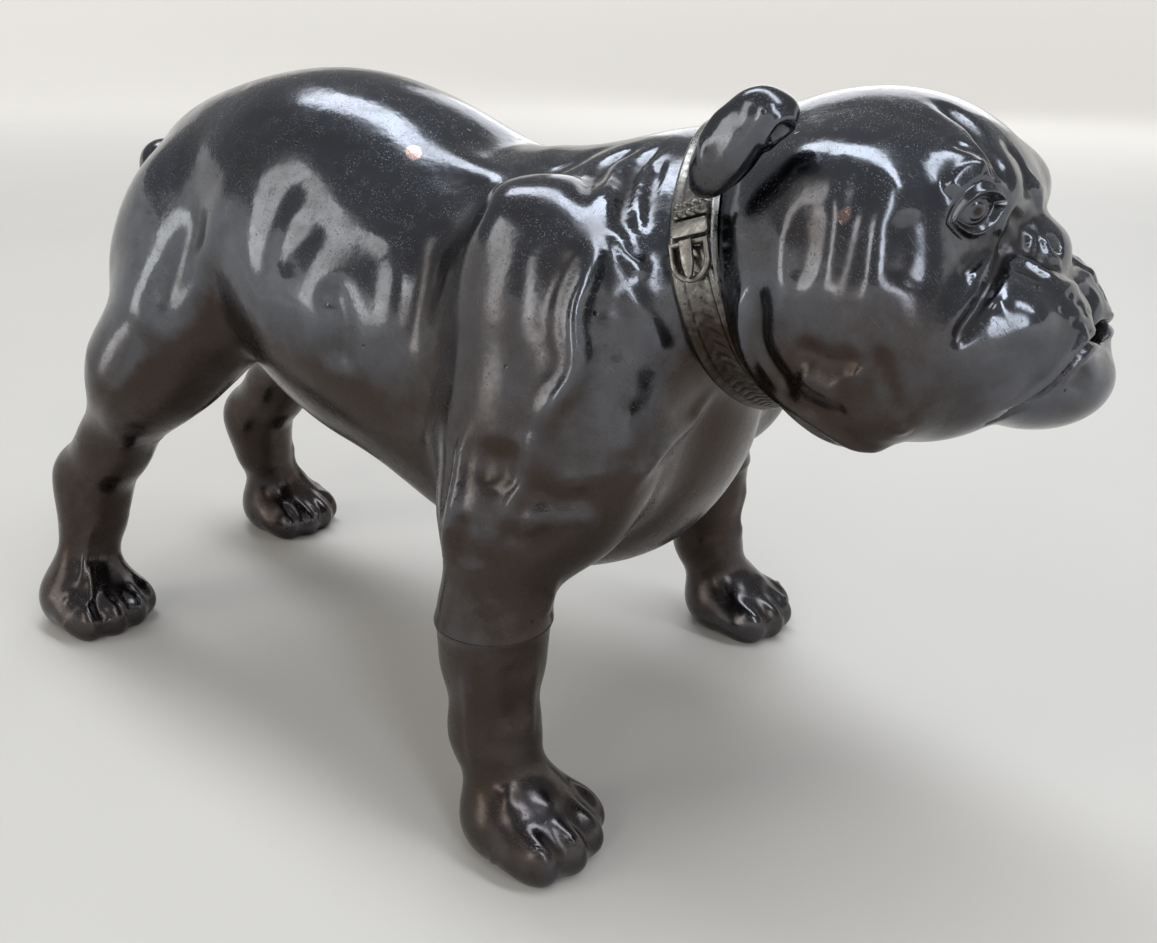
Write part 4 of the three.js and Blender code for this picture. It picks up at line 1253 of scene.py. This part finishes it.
class BuildHead(bpy.types.Operator):
    """Model the head casting with its face."""

    bl_idname = "figurine.head"
    bl_label = "Head casting"

    def execute(self, context):
        s = sizes()
        head = clay("head-casting", DOG, s.head_detail / MM, lambda at: at.x > 48.0 and at.z > 50.0, POCKET)
        eyes = [(EYE_AT.x + 1.0, side * (EYE_AT.y + 2.0), EYE_AT.z) for side in (-1, 1)]
        refine_near(head, from_head(eyes), EYE_FINE, 3)
        set_places(head, lay_on(DOG, lay_on(DOG, places(head))))
        ripple(head, s.unevenness / MM * 0.6, 14.0, 8)
        sculpt(head, HEAD_STROKES, mirrored_on_head)
        pupils = self.draw_eyes(head)
        half = s.seam / MM / 2
        cut_away(head, collar_block(-160.0, half))
        cut_away(head, neck_plug(-12.0, SLEEVE_LENGTH / 2 + SLEEVE_FIT, SLEEVE_WIDTH + 2 * SLEEVE_FIT))
        cut_away(head, neck_plug(0.0, MOUTH_IN_HEAD, SLEEVE_WIDTH - 2 * SLEEVE_WALL))
        wear_marks(head, 26)
        brown = HEAD_BROWN + other_side(HEAD_BROWN)
        brown += [(tuple(pupil), radius, strength) for pupil in pupils for radius, strength in IRIS_BROWN]
        # The last number is how much downward faces and low parts take of the painted reflection of a brown surface
        # below.
        blotch_marks(head, "stain_and_reflection", brown, 0.5)
        copper_marks(head)
        finish_piece(head, "head_casting", dark_plate())
        return {"FINISHED"}

    def draw_eyes(self, head):
        """Almond openings with lids, a crease round them, and in each a ball with an iris and a pupil."""
        tree = skin_tree(head)
        p = places(head)
        out = out_directions(head)
        back, front = (np.array(on_skin(tree, *corner)) for corner in EYE_CORNERS)
        pupil = np.array(on_skin(tree, *PUPIL))
        lift = np.zeros(len(p))
        pupils = []
        for a, b, centre in ((back, front, pupil), tuple(mirrored_on_head(np.array([back, front, pupil])))):
            middle = (a + b) / 2
            near = np.linalg.norm(p - middle, axis=1) < EYE_REACH
            facing = out[near][np.argmin(np.linalg.norm(p[near] - middle, axis=1))]
            long = (b - a) / np.linalg.norm(b - a)
            long -= facing * (long @ facing)
            high = np.cross(facing, long)
            q = p[near] - middle
            half = np.linalg.norm(b - a) / 2
            u, v = q @ long / half, q @ high
            edge = np.abs(v) - EYE_OPENING * np.clip(1 - u * u, -1.5, 1)
            inside = soft_step(edge, EYE_EDGE)
            away = np.linalg.norm(p[near] - centre, axis=1)
            ball = -EYE_DEPTH + BALL_RISE * np.clip(1 - (away / BALL_RADIUS) ** 2, 0, 1)
            iris = -0.07 * np.exp(-(((away - IRIS_RADIUS) / 0.2) ** 2))
            hole = -0.1 * soft_step(away - PUPIL_RADIUS, 0.08)
            lids = 0.3 * np.exp(-(((edge - 0.3) / 0.34) ** 2)) - 0.22 * np.exp(-(((edge - 1.2) / 0.4) ** 2))
            fade = np.clip((2.1 - np.abs(u)) / 0.8, 0, 1)
            lift[near] += inside * (ball + iris + hole) + (1 - inside) * lids * fade
            pupils.append(centre - facing * 0.4)
        set_places(head, p + out * lift[:, None])
        return pupils


def mirror_copy(piece, name, mirrored):
    """A copy of a piece for the other side, with its own mesh."""
    select_only(piece)
    bpy.ops.object.duplicate()
    copy = bpy.context.object
    copy.name = name
    set_places(copy, mirrored(places(copy)))
    bpy.ops.object.mode_set(mode="EDIT")
    bpy.ops.mesh.select_all(action="SELECT")
    bpy.ops.mesh.flip_normals()
    bpy.ops.object.mode_set(mode="OBJECT")
    return copy


class BuildForelegs(bpy.types.Operator):
    """Model a lower foreleg with its paw, and copy it to the other side."""

    bl_idname = "figurine.forelegs"
    bl_label = "Forelegs"

    def execute(self, context):
        s = sizes()
        leg = clay(
            "foreleg-right", DOG, s.leg_detail / MM, lambda at: at.x > 25.0 and at.y < -15.0 and at.z < 53.0, POCKET
        )
        sculpt(leg, FORELEG_STROKES, mirrored_on_body)
        raise_rings(leg)
        top = block((-100.0, -90.0, FORE_SEAM - s.seam / MM / 2), (150.0, 90.0, 150.0))
        cut_away(leg, joined(top, block((-100.0, -90.0, -40.0), (150.0, 90.0, 0.0))))
        wear_marks(leg, 10)
        # The last number is how much downward faces and low parts take of the painted reflection of a brown surface
        # below.
        blotch_marks(leg, "stain_and_reflection", [((54.0, -36.0, 4.0), 10.0, -0.55)], 1.0)
        blotch_marks(leg, "copper", [])
        other = mirror_copy(leg, "foreleg-left", mirrored_on_body)
        finish_piece(leg, "foreleg_right", dark_plate())
        finish_piece(other, "foreleg_left", dark_plate())
        return {"FINISHED"}


class BuildHindLegs(bpy.types.Operator):
    """Model a lower hind leg with its paw, and copy it to the other side."""

    bl_idname = "figurine.hind_legs"
    bl_label = "Hind legs"

    def execute(self, context):
        s = sizes()
        leg = clay(
            "hind-leg-right", DOG, s.leg_detail / MM, lambda at: at.x < -28.0 and at.y < -12.0 and at.z < 53.0, POCKET
        )
        sculpt(leg, HIND_LEG_STROKES, mirrored_on_body)
        top = block((-150.0, -90.0, HIND_SEAM - s.seam / MM / 2), (150.0, 90.0, 150.0))
        cut_away(leg, joined(top, block((-150.0, -90.0, -40.0), (150.0, 90.0, 0.0))))
        wear_marks(leg, 10)
        # The last number is how much downward faces and low parts take of the painted reflection of a brown surface
        # below.
        blotch_marks(leg, "stain_and_reflection", [((-47.0, -25.0, 4.0), 10.0, -0.5)], 1.0)
        blotch_marks(leg, "copper", [])
        other = mirror_copy(leg, "hind-leg-left", mirrored_on_body)
        finish_piece(leg, "hind_leg_right", dark_plate())
        finish_piece(other, "hind_leg_left", dark_plate())
        return {"FINISHED"}


def seat_on_dog(piece, clearance):
    """Presses the part of a piece that would enter the castings back onto their skin."""
    p = places(piece)
    for _ in range(4):
        inside = DOG.distance(p) < clearance
        if not inside.any():
            break
        p[inside] = lay_on(DOG, p[inside], clearance)
    set_places(piece, p)


class BuildEars(bpy.types.Operator):
    """Model a folded ear, and its partner on the turned head's other side."""

    bl_idname = "figurine.ears"
    bl_label = "Ears"

    def execute(self, context):
        s = sizes()
        flap = blend(
            2.0,
            head_egg(13.6, 5.8, 6.8, -9.8, 24.0, 10.1, 56.0),
            head_egg(6.8, 5.6, 5.0, -6.4, 22.8, 13.4, 10.0),
        )
        form = turned(both_sides(flap))
        ear = clay("ear-right", form, s.ear_detail / MM, lambda at: at.y < 0)
        sculpt(ear, EAR_STROKES, mirrored_on_head)
        other = mirror_copy(ear, "ear-left", mirrored_on_head)
        for piece, node, side in ((ear, "ear_right", -1), (other, "ear_left", 1)):
            seat_on_dog(piece, 0.05)
            wear_marks(piece, 20)
            blotch_marks(piece, "stain_and_reflection", [((66.0, side * 27.0, 86.0), 5.0, 0.6)])
            blotch_marks(piece, "copper", [])
            finish_piece(piece, node, dark_plate())
        return {"FINISHED"}


class BuildTail(bpy.types.Operator):
    """Model the short tail against the rump."""

    bl_idname = "figurine.tail"
    bl_label = "Tail"

    def execute(self, context):
        tail = clay("tail-casting", TAIL, sizes().ear_detail / MM)
        seat_on_dog(tail, 0.05)
        wear_marks(tail, 20)
        # The last number is how much downward faces and low parts take of the painted reflection of a brown surface
        # below.
        blotch_marks(tail, "stain_and_reflection", [(TAIL_ROOT, 8.0, 0.5)], 0.6)
        blotch_marks(tail, "copper", [])
        finish_piece(tail, "tail", dark_plate())
        return {"FINISHED"}


# Collar: places on the strap are an angle from the nape towards the right, and a distance ahead

STRAP_STEPS = 48
STRAP_LIFT = 0.35
STRAP_SINK = 0.25
BRAID_STEP = 1.5
BRAID_HEIGHT = 0.17
BUCKLE_ANGLE = 76.0
STUD_PLACES = ((-0.5, -1.6), (-0.55, -0.55), (-0.5, 0.5), (-0.55, 1.55), (0.5, -1.1), (0.5, 0.0), (0.5, 1.1))
STUD_RADIUS = 0.46
STUD_HEIGHT = 0.78
STUD_SKIN = 0.09


def from_nape(angle):
    turn = math.radians(angle)
    return COLLAR_TURN.to_3x3() @ Vector((0.0, -math.sin(turn), math.cos(turn)))


def neck_reach(angles, ahead):
    """How far the dog's surface is from the middle of the neck."""
    out = np.array([from_nape(a) for a in angles])
    middle = np.array(COLLAR_PLACE @ Vector((ahead, 0.0, 0.0)))
    reach = np.full(len(angles), SLEEVE_WIDTH / 2)
    for _ in range(60):
        reach -= 0.7 * DOG.distance(middle + out * reach[:, None])
    return reach


def strap_girth():
    if "girth" not in _made:
        angles = np.arange(STRAP_STEPS) * 360.0 / STRAP_STEPS
        half = sizes().strap_width / MM / 2
        girth = np.maximum.reduce([neck_reach(angles, a) for a in (-half / 2, 0.0, half / 2)])
        for _ in range(2):
            girth = np.maximum(girth, (np.roll(girth, 1) + 2 * girth + np.roll(girth, -1)) / 4)
        _made["girth"] = girth
    return _made["girth"]


def girth_at(angle):
    """The strap's radius at an angle, rounded off between its steps."""
    girth = strap_girth()
    at = (np.asarray(angle) % 360.0) * STRAP_STEPS / 360.0
    n = np.floor(at).astype(int)
    t = at - n
    a, b, c, d = (girth[(n + k) % STRAP_STEPS] for k in (-1, 0, 1, 2))
    return rounded(a, b, c, d, t)


def on_neck(angle, ahead, lift):
    middle = COLLAR_PLACE @ Vector((ahead, 0.0, 0.0))
    return middle + from_nape(angle) * (float(girth_at(angle)) + lift)


class BuildCollar(bpy.types.Operator):
    """Model the collar strap with its bands and braid."""

    bl_idname = "figurine.collar"
    bl_label = "Collar strap"

    def execute(self, context):
        s = sizes()
        half = s.strap_width / MM / 2
        thick = s.strap_thickness / MM
        around, across, under = 540, 44, 6
        rows = [(-half + 2 * half * n / (across - 1), True) for n in range(across)]
        rows += [(half - 2 * half * (n + 0.5) / under, False) for n in range(under)]
        angles = np.arange(around) * 360.0 / around
        girth = girth_at(angles)
        out = np.array([from_nape(a) for a in angles])
        along = np.cumsum(np.full(around, 2 * math.pi * girth.mean() / around))
        points = []
        for u, top in rows:
            middle = np.array(COLLAR_PLACE @ Vector((u, 0.0, 0.0)))
            lift = thick * self.profile(u / half) + self.braid(u / half, along) if top else -STRAP_SINK
            points.append(middle + out * (girth + STRAP_LIFT + lift)[:, None])
        p = np.array(points).transpose(1, 0, 2)
        section = len(rows)
        faces = []
        for a in range(around):
            b = (a + 1) % around
            for n in range(section):
                m = (n + 1) % section
                faces.append((a * section + n, a * section + m, b * section + m, b * section + n))
        mesh = bpy.data.meshes.new("collar-strap")
        mesh.from_pydata(p.reshape(-1, 3).tolist(), [], faces)
        strap = bpy.data.objects.new("collar-strap", mesh)
        bpy.context.collection.objects.link(strap)
        select_only(strap)
        bpy.ops.object.mode_set(mode="EDIT")
        bpy.ops.mesh.select_all(action="SELECT")
        bpy.ops.mesh.normals_make_consistent(inside=False)
        bpy.ops.object.mode_set(mode="OBJECT")
        seat_on_dog(strap, 0.03)
        wear_marks(strap, 4, 0.1)
        blotch_marks(strap, "stain_and_reflection", STRAP_BROWN + other_side(STRAP_BROWN))
        blotch_marks(strap, "copper", [])
        finish_piece(strap, "collar_strap", strap_plate())
        return {"FINISHED"}

    def profile(self, u):
        """Height across the strap, for u from -1 at the rear edge to 1 at the front."""
        edge = max(0.0, 1.0 - abs(u) ** 10)
        rear = 0.28 * math.exp(-(((u + 0.72) / 0.2) ** 2))
        front = 0.2 * math.exp(-(((u - 0.88) / 0.07) ** 2)) + 0.16 * math.exp(-(((u - 0.68) / 0.06) ** 2))
        return edge * (0.62 + rear + front) + 0.05

    def braid(self, u, along):
        """A braid along the middle of the strap."""
        inside = min(1.0, max(0.0, (u + 0.42) / 0.1)) * min(1.0, max(0.0, (0.58 - u) / 0.1))
        strands = np.abs(np.sin(math.pi * (along / BRAID_STEP - abs(u - 0.08) * 1.6)))
        return inside * BRAID_HEIGHT * (1.0 - (1.0 - strands) ** 2)


def strap_frame(up_strap, lift, ahead=0.5):
    """A flat piece's place on the strap: its +X down the strap, +Y towards the head, +Z out."""
    top = STRAP_LIFT + sizes().strap_thickness / MM
    radius = float(girth_at(BUCKLE_ANGLE)) + top
    angle = BUCKLE_ANGLE - math.degrees(up_strap / radius)
    across = COLLAR_TURN.to_3x3() @ Vector((1.0, 0.0, 0.0))
    along = (on_neck(angle + 4, 0.0, top) - on_neck(angle - 4, 0.0, top)).normalized()
    out = along.cross(across)
    place = Matrix((along, across, out)).transposed().to_4x4()
    place.translation = on_neck(angle, ahead, top + lift)
    return place


def cut_plate(name, outlines, thickness, bevel, place):
    """A plate of the given outlines with rounded edges, made as a filled curve and then a mesh."""
    curve = bpy.data.curves.new(name, "CURVE")
    curve.dimensions = "2D"
    curve.fill_mode = "BOTH"
    curve.extrude = thickness / 2 - bevel
    curve.bevel_depth = bevel
    curve.bevel_resolution = 3
    curve.offset = -bevel
    for outline in outlines:
        spline = curve.splines.new("POLY")
        spline.points.add(len(outline) - 1)
        for point, (x, y) in zip(spline.points, outline):
            point.co = (x, y, 0.0, 1.0)
        spline.use_cyclic_u = True
    piece = bpy.data.objects.new(name, curve)
    bpy.context.collection.objects.link(piece)
    select_only(piece)
    bpy.ops.object.convert(target="MESH")
    piece = bpy.context.object
    bpy.ops.object.mode_set(mode="EDIT")
    bpy.ops.mesh.select_all(action="SELECT")
    bpy.ops.mesh.remove_doubles(threshold=0.001)
    bpy.ops.mesh.normals_make_consistent(inside=False)
    bpy.ops.object.mode_set(mode="OBJECT")
    piece.data.transform(place @ Matrix.Translation((0.0, 0.0, thickness / 2)))
    return piece


def buckle_outline(length, width):
    """An outline with a square upper end and a round lower end."""
    points = [(-length / 2, -width / 2)]
    for n in range(25):
        turn = math.radians(-90 + 180 * n / 24)
        points.append((length / 2 - width / 2 + math.cos(turn) * width / 2, math.sin(turn) * width / 2))
    points.append((-length / 2, width / 2))
    return points


class BuildBuckle(bpy.types.Operator):
    """Model the buckle's frame and tongue, and the two keepers above it."""

    bl_idname = "figurine.buckle"
    bl_label = "Buckle and keepers"

    def execute(self, context):
        length, width, rod = 4.8, 5.0, 0.65
        outlines = (buckle_outline(length, width), buckle_outline(length - 2 * rod, width - 2 * rod))
        buckle = cut_plate("buckle-frame", outlines, 0.9, 0.2, strap_frame(0.0, 0.05))
        leaf = ((-2.4, -0.8), (0.4, -0.72), (1.6, -0.42), (2.1, 0.0), (1.6, 0.42), (0.4, 0.72), (-2.4, 0.8))
        tongue = cut_plate("buckle-tongue", (leaf,), 0.6, 0.15, strap_frame(0.0, 1.0))
        pieces = [(buckle, "buckle_frame"), (tongue, "buckle_tongue")]
        for n, node in enumerate(("keeper_lower", "keeper_upper")):
            a, b, c = 1.0, 2.4, 0.4
            outline = [(-a + c, -b), (a - c, -b), (a, -b + c), (a, b - c)]
            outline += [(-x, -y) for x, y in outline]
            up = (length + 2 * a) / 2 + 0.35 + n * (2 * a + 0.35)
            place = strap_frame(up, 0.05)
            keeper = cut_plate(node.replace("_", "-"), (outline,), 0.8, 0.2, place)
            if node == "keeper_upper":
                keeper = self.stud(keeper, place)
            pieces.append((keeper, node))
        for piece, node in pieces:
            wear_marks(piece, 2, 0.1)
            blotch_marks(piece, "stain_and_reflection", [(strap_frame(0.0, 0.0).translation, 6.0, 0.5)])
            blotch_marks(piece, "copper", [])
            finish_piece(piece, node, strap_plate(), 35.0)
        return {"FINISHED"}

    def stud(self, keeper, place):
        """Small round studs in two rows on a keeper, made one skin with it."""
        studs = [keeper]
        for x, y in STUD_PLACES:
            bpy.ops.object.select_all(action="DESELECT")
            bpy.ops.mesh.primitive_uv_sphere_add(segments=16, ring_count=8, radius=STUD_RADIUS)
            ball = bpy.context.object
            ball.data.transform(place @ Matrix.Translation((x, y, STUD_HEIGHT)))
            studs.append(ball)
        keeper = joined(*studs)
        remesh(keeper, STUD_SKIN)
        return keeper


class BuildSleeve(bpy.types.Operator):
    """Model the turned brass sleeve hidden inside the neck."""

    bl_idname = "figurine.sleeve"
    bl_label = "Neck sleeve"

    def execute(self, context):
        sleeve = neck_plug(-SLEEVE_LENGTH / 2, SLEEVE_LENGTH / 2, SLEEVE_WIDTH)
        sleeve.name = "neck-sleeve"
        cut_away(sleeve, neck_plug(-SLEEVE_LENGTH, SLEEVE_LENGTH, SLEEVE_WIDTH - 2 * SLEEVE_WALL))
        select_only(sleeve)
        bevel = sleeve.modifiers.new("Turned edges", "BEVEL")
        bevel.width = 0.3
        bevel.segments = 3
        bevel.limit_method = "ANGLE"
        bpy.ops.object.modifier_apply(modifier=bevel.name)
        finish_piece(sleeve, "neck_sleeve", sleeve_brass(), 35.0)
        return {"FINISHED"}


# Studio: sizes in metres, and the backdrop's shading in millimetres
FLOOR_RADIUS = 1.4
SWEEP = 0.7
SWEEP_STEPS = 14
BACKDROP_FROM = 350.0
GLOW_FROM = 450.0
GLOW_FULL = 1500.0
GLOW = 0.42
LAMPS = (
    ("Overhead window", (0.04, 0.20, 1.20), (2.00, 0.30), 11.5, (0.92, 0.96, 1.0)),
    ("Right window", (0.84, -0.60, 0.80), (0.22, 0.80), 3.0, (0.92, 0.96, 1.0)),
    ("Left window", (-0.85, -0.95, 0.68), (0.40, 1.30), 3.6, (1.0, 0.96, 0.86)),
    ("Camera window", (0.10, -1.30, 0.62), (0.26, 0.90), 2.2, (1.0, 0.97, 0.90)),
    ("Rear window", (-0.30, 1.25, 0.55), (0.80, 0.60), 2.5, (0.95, 0.97, 1.0)),
)
LAMPS_TOWARDS = (0.0, 0.0, 0.06)


class BuildStage(bpy.types.Operator):
    """Set the pale floor, the soft lamps, the world and the photograph's camera."""

    bl_idname = "figurine.stage"
    bl_label = "Studio"

    def execute(self, context):
        scene = context.scene
        self.make_floor()
        self.make_world(scene)
        for name, place, size, power, colour in LAMPS:
            light = bpy.data.lights.new(name, "AREA")
            light.shape = "RECTANGLE"
            light.size, light.size_y = size
            light.energy = power
            light.color = colour
            lamp = bpy.data.objects.new(name, light)
            scene.collection.objects.link(lamp)
            lamp.location = place
            lamp.rotation_euler = (Vector(place) - Vector(LAMPS_TOWARDS)).to_track_quat("Z", "Y").to_euler()
        self.make_camera(scene)
        scene.view_settings.view_transform = "Standard"
        return {"FINISHED"}

    def make_floor(self):
        """A round floor whose rim sweeps up into a backdrop on all sides."""
        bpy.ops.object.select_all(action="DESELECT")
        bpy.ops.mesh.primitive_circle_add(vertices=128, radius=FLOOR_RADIUS, fill_type="NGON")
        floor = bpy.context.object
        floor.name = "floor"
        bpy.ops.object.mode_set(mode="EDIT")
        bpy.ops.mesh.select_all(action="SELECT")
        bpy.ops.mesh.inset(thickness=0.02)
        bpy.ops.mesh.select_all(action="SELECT")
        bpy.ops.mesh.region_to_loop()
        radius = FLOOR_RADIUS
        for n in range(SWEEP_STEPS):
            low, high = (math.radians(90 * k / SWEEP_STEPS) for k in (n, n + 1))
            wider = (radius + SWEEP * (math.sin(high) - math.sin(low))) / radius
            rise = SWEEP * (math.cos(low) - math.cos(high))
            bpy.ops.mesh.extrude_edges_move()
            bpy.ops.transform.resize(value=(wider, wider, 1.0), center_override=(0.0, 0.0, 0.0))
            bpy.ops.transform.translate(value=(0.0, 0.0, rise))
            radius *= wider
        bpy.ops.mesh.select_all(action="SELECT")
        bpy.ops.mesh.normals_make_consistent(inside=True)
        bpy.ops.object.mode_set(mode="OBJECT")
        bpy.ops.object.shade_smooth()
        material, tree, shader = new_material("Pale floor")
        shader.inputs["Metallic"].default_value = 0.0
        shader.inputs["Roughness"].default_value = 0.6
        place = in_millimetres(tree)
        soft = noise(tree, place, 0.02, 3.0)
        colour = tuple(finishes().floor)
        darker = tuple(c * 0.96 for c in colour[:3]) + (1.0,)
        height = add(tree, "ShaderNodeSeparateXYZ", ((0, place),)).outputs["Z"]
        ground = mixed(tree, soft, colour, darker)
        base = mixed(tree, ramp(tree, height, 0.0, BACKDROP_FROM), ground, BACKDROP_COLOUR)
        tree.links.new(base, shader.inputs["Base Color"])
        path = add(tree, "ShaderNodeLightPath").outputs
        bounced = maths(tree, "MAXIMUM", path["Is Glossy Ray"], path["Is Transmission Ray"])
        seen = maths(tree, "MAXIMUM", path["Is Camera Ray"], bounced)
        away = add(tree, "ShaderNodeVectorMath", ((0, place),), operation="LENGTH").outputs["Value"]
        glow = maths(tree, "MULTIPLY", seen, ramp(tree, away, GLOW_FROM, GLOW_FULL))
        shader.inputs["Emission Color"].default_value = GLOW_COLOUR
        tree.links.new(maths(tree, "MULTIPLY", glow, GLOW), shader.inputs["Emission Strength"])
        floor.data.materials.append(material)

    def make_world(self, scene):
        world = bpy.data.worlds.new("Studio")
        scene.world = world
        world.use_nodes = True
        tree = world.node_tree
        tree.nodes.clear()
        grey = add(tree, "ShaderNodeBackground", (("Color", (0.72, 0.72, 0.73, 1.0)), ("Strength", 0.4)))
        output = add(tree, "ShaderNodeOutputWorld")
        tree.links.new(grey.outputs[0], output.inputs["Surface"])

    def make_camera(self, scene):
        data = bpy.data.cameras.new("Photograph view")
        data.sensor_width = 36.0
        data.sensor_fit = "HORIZONTAL"
        data.lens = 36.0 * PICTURE_FOCUS / PICTURE_WIDTH
        data.clip_start = 0.01
        camera = bpy.data.objects.new("Photograph view", data)
        scene.collection.objects.link(camera)
        back = -EYE_FORWARD.normalized()
        right = (EYE_RIGHT - back * EYE_RIGHT.dot(back)).normalized()
        up = back.cross(right)
        place = Matrix((right, up, back)).transposed().to_4x4()
        place.translation = (EYE_PLACE + TO_CAD) * MM
        camera.matrix_world = place
        scene.camera = camera


class FigurinePanel(bpy.types.Panel):
    """The figurine's pieces, in the sidebar."""

    bl_idname = "VIEW3D_PT_figurine"
    bl_label = "Bulldog figurine"
    bl_space_type = "VIEW_3D"
    bl_region_type = "UI"
    bl_category = "Figurine"

    def draw(self, context):
        layout = self.layout
        for group in (context.scene.figurine_sizes, context.scene.figurine_finishes):
            for key in group.__annotations__:
                layout.prop(group, key)
        for operator in OPERATORS:
            layout.operator(operator.bl_idname)


OPERATORS = (
    BuildBody,
    BuildHead,
    BuildForelegs,
    BuildHindLegs,
    BuildEars,
    BuildTail,
    BuildCollar,
    BuildBuckle,
    BuildSleeve,
    BuildStage,
)
CLASSES = (FigurineSettings, FinishSettings) + OPERATORS + (FigurinePanel,)


def register():
    for each in CLASSES:
        bpy.utils.register_class(each)
    bpy.types.Scene.figurine_sizes = bpy.props.PointerProperty(type=FigurineSettings)
    bpy.types.Scene.figurine_finishes = bpy.props.PointerProperty(type=FinishSettings)


def unregister():
    del bpy.types.Scene.figurine_finishes
    del bpy.types.Scene.figurine_sizes
    for each in reversed(CLASSES):
        bpy.utils.unregister_class(each)


def main():
    register()
    for operator in OPERATORS:
        family, name = operator.bl_idname.split(".")
        getattr(getattr(bpy.ops, family), name)()


if __name__ == "__main__":
    main()
